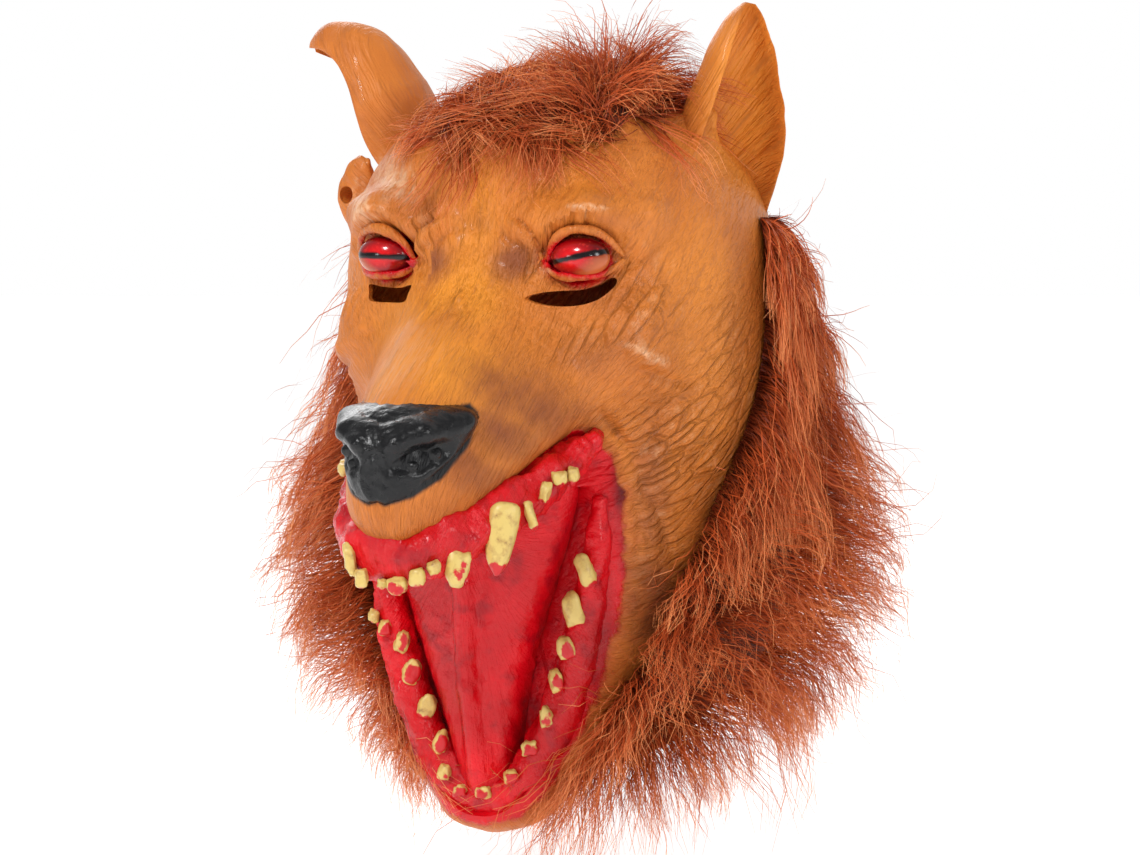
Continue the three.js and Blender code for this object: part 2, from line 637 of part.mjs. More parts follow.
// The casting: an outer form with everything that stands on it, less the hollow that the head fills
function casting() {
  let outer = solid(skin(0));
  sides.forEach((side) => {
    outer = outer.add(lidBody(upperLid, side)).add(lidBody(lowerLid, side));
    outer = outer.subtract(ellipsoid(eyeAt(side), eyeRadii, clearance, 14));
  });
  outer = outer.subtract(mouthHollow(0)).add(tongue(0)).add(upperGumBody(0, 8)).add(lowerGumBody()).add(nosePad);
  sides.forEach((side) => {
    outer = outer.subtract(ellipsoid(nostrilPlace(side), nostrilRadii, 0, 8));
  });
  outer = outer.subtract(philtrum(0));
  [...teeth(upperTeeth, upperGum, upperGumPlace, () => vector(0.05, -0.12, -1).normalize(), 0.9),
    ...teeth(lowerTeeth, lowerGum, lowerGumPlace, () => vector(-0.12, -1, 0.25).normalize(), 0.38)].forEach((body) => {
    outer = outer.add(body);
  });
  outer = outer.add(earBody(uprightEar, 1, 0)).add(earBody(bentEar, -1, 0)).add(ellipsoid(lobePlace, lobeRadii, 0, 12));

  let inner = solid(skin(wall)).subtract(mouthHollow(wall));
  sides.forEach((side) => {
    inner = inner.subtract(ellipsoid(eyeAt(side), eyeRadii, clearance + wall, 12));
    inner = inner.subtract(ellipsoid(nostrilPlace(side), nostrilRadii, wall, 8));
  });
  inner = inner.subtract(philtrum(wall)).add(tongue(wall)).add(upperGumBody(wall, 6));

  return outer.subtract(inner).subtract(slitCutter(longSlit, 1)).subtract(slitCutter(squareSlit, -1))
    .subtract(neckCutter).subtract(lobeBore);
}

// Place on the rubber's surface along a direction from inside the head
function surfacePoint(from, direction) {
  let near = 0;
  let far = farthest;
  const at = (reach) => from.clone().addScaledVector(direction, reach);
  for (let i = 0; i < 24; i += 1) {
    const half = (near + far) / 2;
    const spot = at(half);
    if (castingForm(spot.x, spot.y, spot.z) < 0) near = half;
    else far = half;
  }
  return at(near);
}

// Mass of fur over a grid of surface places: each place says how far it stands out and how far it hangs down
function furMass(grid) {
  const rows = grid.length;
  const columns = grid[0].length;
  const points = [];
  grid.forEach((row) => row.forEach(({ at, out }) => points.push(at.clone().addScaledVector(out, -1.5 * wall))));
  grid.forEach((row) => row.forEach(({ at, out, depth, fall }) => {
    points.push(at.clone().addScaledVector(out, clearance + depth).add(vector(0, 0, -fall)));
  }));
  const top = rows * columns;
  const faces = [];
  const quad = (a, b, c, d) => faces.push(a, b, c, a, c, d);
  for (let i = 0; i < rows - 1; i += 1) {
    for (let j = 0; j < columns - 1; j += 1) {
      const a = i * columns + j;
      quad(a, a + columns, a + columns + 1, a + 1);
      quad(top + a, top + a + 1, top + a + columns + 1, top + a + columns);
    }
  }
  const edge = [];
  for (let j = 0; j < columns - 1; j += 1) edge.push(j);
  for (let i = 0; i < rows - 1; i += 1) edge.push(i * columns + columns - 1);
  for (let j = columns - 1; j > 0; j -= 1) edge.push((rows - 1) * columns + j);
  for (let i = rows - 1; i > 0; i -= 1) edge.push(i * columns);
  edge.forEach((a, k) => {
    const b = edge[(k + 1) % edge.length];
    quad(a, b, top + b, top + a);
  });
  return closedBody(points, faces);
}

// Repeatable unevenness from -1 to 1 for the lock with a given number
function uneven(number, kind) {
  const wave = Math.sin(number * 12.9898 + kind * 78.233) * 43758.5453;
  return 2 * (wave - Math.floor(wave)) - 1;
}

// A lock of fur leaves the mass along a first direction and bends over to a second
function lock(root, first, second, size) {
  const bend = root.clone().addScaledVector(first, 0.5 * size * lockLength);
  const tip = bend.clone().addScaledVector(second, 0.55 * size * lockLength);
  return tube([
    { at: root, radius: lockThickness / 2 },
    { at: bend, radius: 0.36 * lockThickness },
    { at: tip, radius: 0.14 * lockThickness },
  ], 4);
}

// Fur over the top of the head, from the hairline back, between the ears
const crownSpan = { front: 33, back: 148, side: 43, hairlineRise: 16 };
function crownPlace(along, across) {
  const front = crownSpan.front + crownSpan.hairlineRise * across * across;
  const tilt = (front + (crownSpan.back - front) * along) * degrees;
  const lean = crownSpan.side * across * degrees;
  const out = vector(Math.sin(lean), -Math.cos(lean) * Math.cos(tilt), Math.cos(lean) * Math.sin(tilt));
  return { at: surfacePoint(vector(0, 0, 0), out), out };
}
const steps = (count) => Array.from({ length: count }, (_, i) => i / (count - 1));
function crownFur() {
  let body = furMass(steps(7).map((along, i) => steps(9).map((share, j) => {
    const hump = (Math.sin(Math.PI * along) * Math.sin(Math.PI * share)) ** 0.35;
    const tuft = 1 + 0.3 * (-1) ** (i + j) + 0.25 * uneven(i * 9 + j, 1);
    return { ...crownPlace(along, 2 * share - 1), depth: furEdge + (crownDepth - furEdge) * hump * tuft, fall: 0 };
  })));
  const rows = [
    { along: 0.14, locks: 5, rise: 0.3, back: -0.8, size: 0.9 },
    { along: 0.34, locks: 4, rise: 0.35, back: 0.35, size: 1 },
    { along: 0.66, locks: 3, rise: 0.2, back: 0.9, size: 1 },
  ];
  rows.forEach((row, i) => {
    for (let j = 0; j < row.locks; j += 1) {
      const number = i * 10 + j + 1;
      const across = 0.8 * ((2 * (j + 0.5)) / row.locks - 1) + 0.05 * uneven(number, 1);
      const { at, out } = crownPlace(row.along, across);
      const root = at.clone().addScaledVector(out, 0.45 * crownDepth);
      const sideways = vector(0.5 * across + 0.5 * uneven(number, 2), row.back, 0);
      const first = out.clone().multiplyScalar(row.rise).add(sideways).normalize();
      const bent = vector(0.5 * uneven(number, 3) + 0.4 * across, 0.5 * row.back, -0.45);
      const second = first.clone().add(bent).normalize();
      body = body.add(lock(root, first, second, row.size * (1 + 0.15 * uneven(number, 4))));
    }
  });
  return body;
}

// Fur round the sides, throat and nape: heights in shares of the crown or the chin, and the degrees from the
// front at which it starts on each side
const maneTop = 0.24;
const maneFront = [
  [maneTop, 98], [0, 97], [-0.25, 95], [-0.43, 78], [-0.6, 65], [-0.76, 50], [-0.86, 38],
].reverse().map(([level, start]) => [levelAt(level), start]);
const maneStart = curveThrough(maneFront);
const rimLevel = (y) => (y / napeReach) * napeRise * 0.78 + 0.2 * napeRise - neckDrop;
function manePlace(down, turn) {
  const top = levelAt(maneTop);
  let level = top;
  let found = { at: vector(0, 0, 0), out: vector(0, 0, 0) };
  for (let i = 0; i < 5; i += 1) {
    const start = maneStart(level)[1];
    const angle = (start + (360 - 2 * start) * turn) * degrees;
    const out = vector(Math.sin(angle), -Math.cos(angle), 0);
    found = { at: surfacePoint(vector(0, 0.05 * napeReach, level), out), out };
    level = top + (rimLevel(found.at.y) + 6 - top) * down;
  }
  found.at.z = level;
  return found;
}
// How far the mane stands out and hangs on each side, from its top edge to the rim of the neck
const maneRows = [
  { down: 0, right: 0.08, rightFall: 0, left: 0.08, leftFall: 0 },
  { down: 0.14, right: 0.2, rightFall: 0.1, left: 0.35, leftFall: 0.1 },
  { down: 0.3, right: 0.45, rightFall: 0.25, left: 0.8, leftFall: 0.2 },
  { down: 0.46, right: 0.75, rightFall: 0.35, left: 1.12, leftFall: 0.25 },
  { down: 0.62, right: 1.02, rightFall: 0.45, left: 1.2, leftFall: 0.25 },
  { down: 0.78, right: 1.12, rightFall: 0.5, left: 1.08, leftFall: 0.2 },
  { down: 0.9, right: 0.8, rightFall: 0.7, left: 0.55, leftFall: 0.1 },
  { down: 1, right: 0.3, rightFall: 1, left: 0.2, leftFall: 0.05 },
];
const maneShape = curveThrough(maneRows.map((r) => [r.down, r.right, r.rightFall, r.left, r.leftFall]));
function maneFur() {
  return furMass(steps(10).map((down, i) => steps(30).map((turn, j) => {
    const [, right, rightFall, left, leftFall] = maneShape(down);
    const leftness = clamp((turn - 0.4) / 0.2, 0, 1);
    const stand = right + (left - right) * leftness;
    const hang = rightFall + (leftFall - rightFall) * leftness;
    const nearEdge = Math.min(turn, 1 - turn) / 0.12;
    const side = 0.3 + 0.7 * Math.min(nearEdge, 1) ** 0.7;
    const nape = 1 - 0.35 * Math.max(0, -Math.cos(2 * Math.PI * turn));
    const ridge = (-1) ** (j + Math.floor(i / 2));
    const tuft = 1 + 0.09 * ridge + 0.08 * uneven(i * 30 + j, 5);
    const point = down === 1 ? 0.75 * ridge + 0.6 * uneven(j, 6) : 0.2 * ridge;
    return {
      ...manePlace(down, turn),
      depth: Math.max(furEdge, stand * maneDepth * side * nape * tuft),
      fall: hang * maneFall * (1 + point),
    };
  })));
}

// Fur lies on the rubber with a small space, and leaves room for the ears
function fitted(fur) {
  const rubber = [solid(skin(-clearance)), earBody(uprightEar, 1, 2 * clearance), earBody(bentEar, -1, 2 * clearance),
    ellipsoid(lobePlace, lobeRadii, clearance, 12)];
  return rubber.reduce((body, other) => body.subtract(other), fur);
}

function piece(name, body, look) {
  const { vertProperties, triVerts } = body.getMesh();
  const geometry = new THREE.BufferGeometry();
  geometry.setAttribute("position", new THREE.BufferAttribute(new Float32Array(vertProperties), 3));
  geometry.setIndex(new THREE.BufferAttribute(new Uint32Array(triVerts), 1));
  geometry.computeVertexNormals();
  const mesh = new THREE.Mesh(geometry, new THREE.MeshStandardMaterial(look));
  mesh.name = name;
  return mesh;
}

const rubberLook = { color: 0xc9803c, roughness: 0.38, metalness: 0 };
const eyeLook = { color: 0xc01a14, roughness: 0.12, metalness: 0 };
const furLook = { color: 0xa0603a, roughness: 0.85, metalness: 0 };

// The origin is the inside of the crown, where the mask rests on the head
const seat = vector(0, 0.05 * napeReach, crownHeight - wall);
const mask = new THREE.Group();
mask.position.copy(seat).negate();
mask.add(piece("latex_mask", casting(), rubberLook));
mask.add(piece("eye_right", ellipsoid(eyeAt(1), eyeRadii, 0, 14), eyeLook));
mask.add(piece("eye_left", ellipsoid(eyeAt(-1), eyeRadii, 0, 14), eyeLook));
mask.add(piece("crown_fur", fitted(crownFur()), furLook));
mask.add(piece("mane_fur", fitted(maneFur()), furLook));

const group = new THREE.Group();
group.add(mask);
export default group;
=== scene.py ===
import math
import bpy
import numpy as np
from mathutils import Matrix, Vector


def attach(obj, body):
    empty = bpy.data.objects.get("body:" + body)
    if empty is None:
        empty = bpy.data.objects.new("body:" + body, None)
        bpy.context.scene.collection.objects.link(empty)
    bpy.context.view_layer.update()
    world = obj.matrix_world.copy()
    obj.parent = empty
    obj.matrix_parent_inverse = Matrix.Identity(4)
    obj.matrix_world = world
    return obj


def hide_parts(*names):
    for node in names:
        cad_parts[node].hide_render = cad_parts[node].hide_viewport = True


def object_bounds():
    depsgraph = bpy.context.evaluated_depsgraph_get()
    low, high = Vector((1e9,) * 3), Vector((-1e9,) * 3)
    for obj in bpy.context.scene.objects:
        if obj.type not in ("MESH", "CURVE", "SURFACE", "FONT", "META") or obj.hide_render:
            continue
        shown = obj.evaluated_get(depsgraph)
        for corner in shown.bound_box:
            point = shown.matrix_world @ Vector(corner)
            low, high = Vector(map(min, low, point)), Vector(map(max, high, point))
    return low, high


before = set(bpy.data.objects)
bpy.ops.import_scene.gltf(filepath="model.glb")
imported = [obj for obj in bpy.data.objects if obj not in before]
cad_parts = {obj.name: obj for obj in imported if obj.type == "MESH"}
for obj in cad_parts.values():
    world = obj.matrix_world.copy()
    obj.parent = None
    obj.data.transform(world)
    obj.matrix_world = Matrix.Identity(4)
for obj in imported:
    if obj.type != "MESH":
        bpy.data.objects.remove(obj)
cad_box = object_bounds()

# The rubber skin of the mask. The real one is a single casting of painted latex about 2 mm thick, poured in
# a mould, so its head, brows, snout and jaw run into each other without a seam. Its form is worked out
# from level and upright sections, in millimetres from the eyes' level, the ears' plane and the middle line.
MM = 0.001
SEAT = np.array([0, 4.65, 74.3])
FACE_REACH = 82
NAPE_REACH = 93
CROWN_HEIGHT = 76.5
CHIN_DROP = 252
HALF_HEAD = 95
HALF_JAW = 71
HALF_SNOUT = 52
SNOUT_REACH = 172
SNOUT_DROP = 112
RUBBER_WALL = 2.2
RAY_CENTRE = np.array([0, 0, -45])
RAY_POLE = Vector((0, -0.8, -0.6)).normalized()
# How much closer together the skin's points stand on the snout
SNOUT_GATHER = 1.45
SKIN_SEGMENTS = 372
SKIN_RINGS = 232
LINING_SEGMENTS = 64
LINING_RINGS = 44
# How widely each form blends into the head
JAW_BLEND = 14
SNOUT_BLEND = 18
BROW_BLEND = 14
EAR_BLEND = 16

# level, half width, front, back, squareness, taper: shares of the head's own sizes
HEAD_SECTIONS = [
    (-0.92, 0.65, -0.27, 0.67, 2.2, 0), (-0.81, 0.7, -0.42, 0.7, 2.2, 0),
    (-0.71, 0.75, -0.6, 0.75, 2.2, 0), (-0.555, 0.83, -0.78, 0.82, 2.3, 0),
    (-0.4, 0.91, -0.86, 0.9, 2.3, 0), (-0.24, 0.97, -0.94, 0.97, 2.4, 0), (-0.08, 1, -1, 1, 2.4, 0),
    (0.1, 0.98, -0.98, 1, 2.4, 0), (0.39, 0.91, -0.94, 0.96, 2.4, 0), (0.65, 0.77, -0.84, 0.84, 2.3, 0),
    (0.84, 0.58, -0.66, 0.67, 2.2, 0), (0.94, 0.36, -0.41, 0.45, 2.1, 0), (1, 0.08, -0.05, 0.15, 2, 0),
]
JAW_SECTIONS = [
    (-1, 0.08, -0.83, -0.68, 2, 0), (-0.985, 0.25, -0.93, -0.59, 2.2, 0),
    (-0.945, 0.41, -0.98, -0.44, 2.4, 0), (-0.853, 0.61, -1, -0.29, 2.4, 0),
    (-0.714, 0.8, -0.99, -0.12, 2.4, 0), (-0.556, 0.97, -0.95, 0.06, 2.7, 0),
    (-0.397, 1, -0.88, 0.21, 2.8, 0), (-0.278, 0.92, -0.76, 0.21, 2.6, 0),
]
SNOUT_SECTIONS = [
    (-1, 0.14, -0.93, -0.69, 2.2, 0), (-0.98, 0.26, -0.99, -0.6, 2.3, 0.05),
    (-0.93, 0.4, -1.03, -0.545, 2.4, 0.1), (-0.85, 0.53, -1.02, -0.445, 2.5, 0.15),
    (-0.727, 0.68, -0.93, -0.31, 2.5, 0.22), (-0.58, 0.82, -0.82, -0.14, 2.4, 0.3),
    (-0.45, 0.93, -0.75, 0.03, 2.2, 0.36), (-0.29, 1, -0.71, 0.12, 2.2, 0.36),
    (-0.12, 1, -0.7, 0.14, 2.2, 0.36),
]
# Edge of the open mouth: share of its half width, and level
MOUTH_EDGE = [
    (0, -0.964), (0.25, -0.948), (0.47, -0.889), (0.68, -0.79), (0.855, -0.683), (0.97, -0.579),
    (1, -0.476), (0.985, -0.397), (0.92, -0.333), (0.8, -0.294), (0.64, -0.262), (0, -0.238),
]
HALF_MOUTH = 62
MOUTH_DEPTH = 18
# Middle lines of rounded ridges: place in millimetres and radius
BROW = [((19, -76, 9), 5), ((32, -77, 15), 6), ((50, -75, 21), 6), ((70, -58, 19), 5)]
EYE = np.array([46.5, -76.3, 1])
EYE_RADII = np.array([13.5, 9.7, 9.5])
UPPER_LID = [
    ((31, -77, -3), 1.6), ((37, -81.5, 8), 2), ((47, -82.5, 12.8), 2.2), ((57.5, -77, 10.6), 2),
    ((64, -68.5, 1.5), 1.6),
]
UPPER_FOLD = [
    ((28, -77, 5), 1.8), ((38, -79, 15), 2.4), ((50, -78, 19.5), 2.6), ((62, -69.5, 15), 2.2),
    ((69, -60, 4), 1.6),
]
LOWER_LID = [
    ((31, -77.5, -3), 1.5), ((38, -80, -6.8), 1.8), ((48, -80.5, -7.6), 1.9), ((57.5, -74.5, -5.8), 1.8),
    ((64, -67.5, 0), 1.5),
]
INNER_CORNER = [((27, -77, -1), 1.4), ((34, -80, -1), 1.8)]
EAR_ROOT = [((56, -1, 41), 14), ((65, 0, 52), 9), ((72, 3, 62), 5)]
CHEEK = (57, -58, -36)
CHEEK_RADII = (19, 16.4, 20.2)
SOCKET_SHIFT = [1, -4, 0.5]
SOCKET_RADII = (17, 9.5, 11)
EYE_CLEARANCE = 0.5


def smooth_join(a, b, width):
    """The smaller of two distances, with a rounded fillet of this width between them."""
    blend = np.clip(0.5 + 0.5 * (b - a) / width, 0, 1)
    return b * (1 - blend) + a * blend - width * blend * (1 - blend)


def curve_through(rows, station):
    """The columns of a table at stations between its rows, along smooth curves."""
    rows = np.asarray(rows, float)
    at = rows[:, 0]
    values = rows[:, 1:]
    chords = np.diff(values, axis=0) / np.diff(at)[:, None]
    slopes = np.zeros_like(values)
    slopes[1:-1] = (chords[1:] + chords[:-1]) / 2
    slopes[0] = chords[0]
    slopes[-1] = chords[-1]
    s = np.clip(station, at[0], at[-1])
    i = np.clip(np.searchsorted(at, s, side="right") - 1, 0, len(at) - 2)
    step = (at[i + 1] - at[i])[:, None]
    u = (s - at[i])[:, None] / step
    start = (1 + 2 * u) * (1 - u) ** 2 * values[i] + u * (1 - u) ** 2 * step * slopes[i]
    return start + u * u * (3 - 2 * u) * values[i + 1] + u * u * (u - 1) * step * slopes[i + 1]


def section_body(rows, station, across, other):
    """Distance to a body whose rounded sections a table gives: negative inside it."""
    width, low, high, square, taper = curve_through(rows, station).T
    half = np.maximum((high - low) / 2, 0.5)
    height = (other - (low + high) / 2) / half
    half_width = np.maximum(width * (1 - taper * np.clip(height, -1, 1)), 0.5)
    total = (np.abs(across) / half_width) ** square + np.abs(height) ** square
    side = (total ** (1 / square) - 1) * np.minimum(half_width, half)
    return np.maximum(side, np.maximum(rows[0][0] - station, station - rows[-1][0]))


def level_rows(sections, half_width):
    rise = [(CROWN_HEIGHT if s[0] > 0 else CHIN_DROP) for s in sections]
    reach = [[(NAPE_REACH if s[k] > 0 else FACE_REACH) for k in (2, 3)] for s in sections]
    return [(s[0] * z, s[1] * half_width, s[2] * y[0], s[3] * y[1], s[4], s[5])
            for s, z, y in zip(sections, rise, reach)]


def upright_rows(sections, half_width):
    return [(s[0] * SNOUT_REACH, s[1] * half_width, s[2] * SNOUT_DROP, s[3] * SNOUT_DROP, s[4], s[5])
            for s in sections]


HEAD_ROWS = level_rows(HEAD_SECTIONS, HALF_HEAD)
JAW_ROWS = level_rows(JAW_SECTIONS, HALF_JAW)
SNOUT_ROWS = upright_rows(SNOUT_SECTIONS, HALF_SNOUT)


def chain(places, stops, width):
    """Distance to a row of tapered rods that blend at their ends."""
    nearest = None
    for (a, ra), (b, rb) in zip(stops[:-1], stops[1:]):
        a = np.array(a, float)
        run = np.array(b, float) - a
        share = np.clip((places - a) @ run / (run @ run), 0, 1)
        gap = np.linalg.norm(places - a - share[:, None] * run, axis=1) - (ra + (rb - ra) * share)
        nearest = gap if nearest is None else smooth_join(nearest, gap, width)
    return nearest


def ball(places, centre, radii):
    q = (places - centre) / radii
    size = np.linalg.norm(q, axis=1)
    return size * (size - 1) / np.maximum(np.linalg.norm(q / radii, axis=1), 1e-6)


def to_right(places):
    """Places with those on the left mirrored to the right."""
    return np.abs(places * [1, 0, 0]) + places * [0, 1, 1]


def plain_form(places):
    """Distance to the head, snout, jaw, cheeks and brows: negative inside them."""
    right = to_right(places)
    x, y, z = right.T
    form = section_body(HEAD_ROWS, z, x, y)
    form = smooth_join(form, section_body(JAW_ROWS, z, x, y), JAW_BLEND)
    form = smooth_join(form, section_body(SNOUT_ROWS, y, x, z), SNOUT_BLEND)
    form = smooth_join(form, ball(right, CHEEK, CHEEK_RADII), SNOUT_BLEND)
    return smooth_join(form, chain(right, BROW, 8), BROW_BLEND)


def skin_form(places):
    """The plain form with the ears' roots and the sockets of the eyes."""
    right = to_right(places)
    form = smooth_join(plain_form(places), chain(right, EAR_ROOT, 6), EAR_BLEND)
    near = (right[:, 0] > 15) & (right[:, 1] < -45) & (right[:, 2] > -30) & (right[:, 2] < 35)
    eye_side = right[near]
    part = form[near]
    part = smooth_join(part, chain(eye_side, UPPER_FOLD, 3), 10)
    part = -smooth_join(-part, ball(eye_side, EYE + SOCKET_SHIFT, SOCKET_RADII), 8)
    part = smooth_join(part, chain(eye_side, INNER_CORNER, 3), 4)
    part = np.maximum(part, -ball(eye_side, EYE, EYE_RADII + EYE_CLEARANCE))
    form[near] = part
    return form


def cast(directions, form, start=12, step=4, farthest=430, centre=RAY_CENTRE):
    """How far each direction runs inside a form before it leaves it."""
    centre = np.broadcast_to(centre, directions.shape)
    near = np.full(len(directions), float(start))
    live = np.arange(len(directions))
    while len(live) and near[live].min() < farthest:
        ahead = form(centre[live] + directions[live] * (near[live] + step)[:, None])
        live = live[ahead < 0]
        near[live] += step
    far = near + step
    for _ in range(14):
        half = (near + far) / 2
        inside = form(centre + directions * half[:, None]) < 0
        near = np.where(inside, half, near)
        far = np.where(inside, far, half)
    return (near + far) / 2


def read_points(obj, field):
    flat = np.empty(len(obj.data.vertices) * 3, np.float32)
    obj.data.vertices.foreach_get(field, flat)
    return flat.reshape(-1, 3).astype(float)


def get_places(obj):
    return read_points(obj, "co")


def get_normals(obj):
    return read_points(obj, "normal")


def get_ways(globe):
    """Directions of a round globe's points."""
    unit = get_places(globe)
    return unit / np.linalg.norm(unit, axis=1)[:, None]


def set_places(obj, places):
    obj.data.vertices.foreach_set("co", np.asarray(places, np.float32).ravel())
    obj.data.update()


def in_frame(places):
    return (places - SEAT) * MM


def in_face(places):
    return places / MM + SEAT


def new_globe(name, segments, rings):
    bpy.ops.object.select_all(action="DESELECT")
    bpy.ops.mesh.primitive_uv_sphere_add(segments=segments, ring_count=rings, radius=1)
    globe = bpy.context.object
    globe.name = name
    return globe


def select_only(obj):
    bpy.ops.object.select_all(action="DESELECT")
    obj.select_set(True)
    bpy.context.view_layer.objects.active = obj


def join_pieces(pieces):
    select_only(pieces[0])
    for piece in pieces[1:]:
        piece.select_set(True)
    bpy.ops.object.join()


def normals_out(obj):
    select_only(obj)
    bpy.ops.object.mode_set(mode="EDIT")
    bpy.ops.mesh.select_all(action="SELECT")
    bpy.ops.mesh.normals_make_consistent(inside=False)
    bpy.ops.object.mode_set(mode="OBJECT")
    bpy.ops.object.shade_smooth()


def face_directions(globe):
    """Directions of a globe's points, gathered towards the snout."""
    unit = get_ways(globe)
    angle = np.arccos(np.clip(unit[:, 2], -1, 1))
    bent = math.pi * (angle / math.pi) ** SNOUT_GATHER
    flat = np.maximum(np.linalg.norm(unit[:, :2], axis=1), 1e-9)
    unit = np.stack([unit[:, 0] / flat * np.sin(bent), unit[:, 1] / flat * np.sin(bent), np.cos(bent)], 1)
    unit[angle < 1e-5] = (0, 0, 1)
    unit[angle > math.pi - 1e-5] = (0, 0, -1)
    turn = np.array(Vector((0, 0, 1)).rotation_difference(RAY_POLE).to_matrix())
    return unit @ turn.T


# The photograph's own view, used to set each crease and patch of paint where it shows
EYE_POINT = np.array([637.74, -1353.65, 26.63])
LOOK_AT = np.array([5.36, 2.5, -78.0])
LENS_PIXELS = 3300
PHOTO_SIZE = (1140, 855)
VIEW_AHEAD = (LOOK_AT - EYE_POINT) / np.linalg.norm(LOOK_AT - EYE_POINT)
VIEW_SIDE = np.cross(VIEW_AHEAD, (0, 0, 1)) / np.linalg.norm(np.cross(VIEW_AHEAD, (0, 0, 1)))
VIEW_UP = np.cross(VIEW_SIDE, VIEW_AHEAD)


def photo_places(places):
    from_eye = places - EYE_POINT
    depth = from_eye @ VIEW_AHEAD
    u = PHOTO_SIZE[0] / 2 + LENS_PIXELS * (from_eye @ VIEW_SIDE) / depth
    v = PHOTO_SIZE[1] / 2 - LENS_PIXELS * (from_eye @ VIEW_UP) / depth
    return np.stack([u, v], 1)


def stroke_distance(spots, line):
    nearest = np.full(len(spots), 1e9)
    along = np.zeros(len(spots))
    for i, (a, b) in enumerate(zip(line[:-1], line[1:])):
        a = np.array(a, float)
        run = np.array(b, float) - a
        share = np.clip((spots - a) @ run / (run @ run), 0, 1)
        gap = np.linalg.norm(spots - a - share[:, None] * run, axis=1)
        closer = gap < nearest
        nearest[closer] = gap[closer]
        along[closer] = ((i + share) / (len(line) - 1))[closer]
    return nearest, along


# Creases pressed in the skin, in the photograph's frame: line, width in pixels and depth in millimetres
CREASES = [
    ([(513, 215), (527, 228), (541, 248)], 3.2, 2.6), ([(498, 222), (507, 238), (528, 255)], 3.5, 1.8),
    ([(520, 262), (535, 262), (548, 252)], 4, 2), ([(523, 276), (534, 268), (545, 262)], 3, 1.4),
    ([(486, 214), (480, 228), (470, 236)], 4, 1), ([(492, 226), (502, 236), (512, 250)], 3, 1),
    ([(555, 226), (575, 221), (600, 226), (616, 246)], 3.5, 1.3),
    ([(550, 275), (575, 279), (600, 276), (618, 266)], 3, 0.9),
    ([(620, 232), (632, 242), (636, 256)], 4, 1), ([(622, 262), (640, 264), (655, 262)], 3.5, 0.9),
    ([(626, 284), (640, 300), (645, 322)], 3.2, 0.9), ([(634, 282), (650, 296), (658, 316)], 3.2, 0.9),
    ([(644, 280), (660, 292), (668, 310)], 3.2, 0.8), ([(618, 290), (628, 306), (630, 326)], 3.2, 0.9),
    ([(606, 298), (614, 314), (612, 330)], 3, 0.8), ([(590, 318), (606, 326), (626, 334)], 3.5, 0.8),
    ([(572, 330), (592, 338), (615, 340)], 3.5, 0.8), ([(560, 318), (580, 326), (600, 328)], 3, 0.6),
    ([(628, 368), (652, 374), (672, 382), (700, 384)], 4.5, 1.8),
    ([(640, 386), (668, 396), (690, 408), (712, 412)], 3.5, 1),
    ([(630, 400), (655, 408), (682, 420), (705, 428)], 3.5, 0.9),
    ([(622, 412), (650, 422), (676, 436)], 3.2, 0.8), ([(640, 430), (664, 444), (690, 452)], 3.2, 0.7),
    ([(650, 450), (672, 462), (700, 470)], 3.2, 0.7),
    ([(610, 420), (626, 440), (640, 470), (648, 500)], 5, 2.2),
    ([(600, 410), (606, 424), (622, 440)], 4, 1.6), ([(634, 500), (640, 520), (637, 560)], 4, 1.4),
    ([(652, 495), (662, 520), (672, 560)], 4, 1.4), ([(425, 290), (438, 300), (448, 318)], 3, 0.9),
    ([(440, 284), (452, 296), (462, 322)], 3, 0.9), ([(455, 280), (464, 292), (468, 318)], 3, 0.9),
    ([(474, 280), (474, 296), (466, 325)], 3, 0.8), ([(440, 212), (452, 206), (470, 200)], 4, 0.7),
]
# Raised folds between the creases
FOLDS = [
    ([(545, 225), (570, 208), (600, 208), (618, 222)], 7, 1.2),
    ([(535, 270), (560, 268), (600, 268), (615, 262)], 4, 1),
    ([(640, 350), (655, 358), (672, 366)], 9, 2.2), ([(600, 330), (620, 345), (645, 352)], 7, 0.9),
    ([(630, 290), (645, 305), (652, 325)], 5, 0.5), ([(505, 215), (520, 232), (536, 256)], 5, 1.3),
    ([(620, 425), (632, 450), (643, 480)], 6, 1.2), ([(500, 90), (470, 150), (462, 200)], 16, 0.8),
]


def front_share(normals):
    """1 where the skin faces forward or aside, 0 where it faces back."""
    return np.clip((-normals[:, 1] + 0.45 * np.abs(normals[:, 0]) + 0.1) * 3, 0, 1)


def creased(places, normals):
    """How far creases and folds lower or raise the skin."""
    spots = photo_places(to_right(places))
    height = np.zeros(len(places))
    for lines, sign in ((CREASES, -1), (FOLDS, 1)):
        for line, width, depth in lines:
            gap, along = stroke_distance(spots, line)
            ends = np.clip(4 * np.minimum(along, 1 - along) + 0.35, 0, 1)
            height += sign * depth * ends * np.exp(-((gap / width) ** 2))
    return height * (front_share(normals) * (places[:, 1] < 45))


def waves(places, pitch, seed):
    """Soft unevenness from a few crossing waves, from about -1 to 1."""
    rng = np.random.default_rng(seed)
    total = np.zeros(len(places))
    for _ in range(7):
        way = rng.normal(size=3)
        way *= 2 * math.pi / (pitch * rng.uniform(0.7, 1.5) * np.linalg.norm(way))
        bend = 1.3 * np.sin(places @ way[[1, 2, 0]] * 0.6 + rng.uniform(0, 6))
        total += np.sin(places @ way + bend + rng.uniform(0, 6))
    return total / 3.5


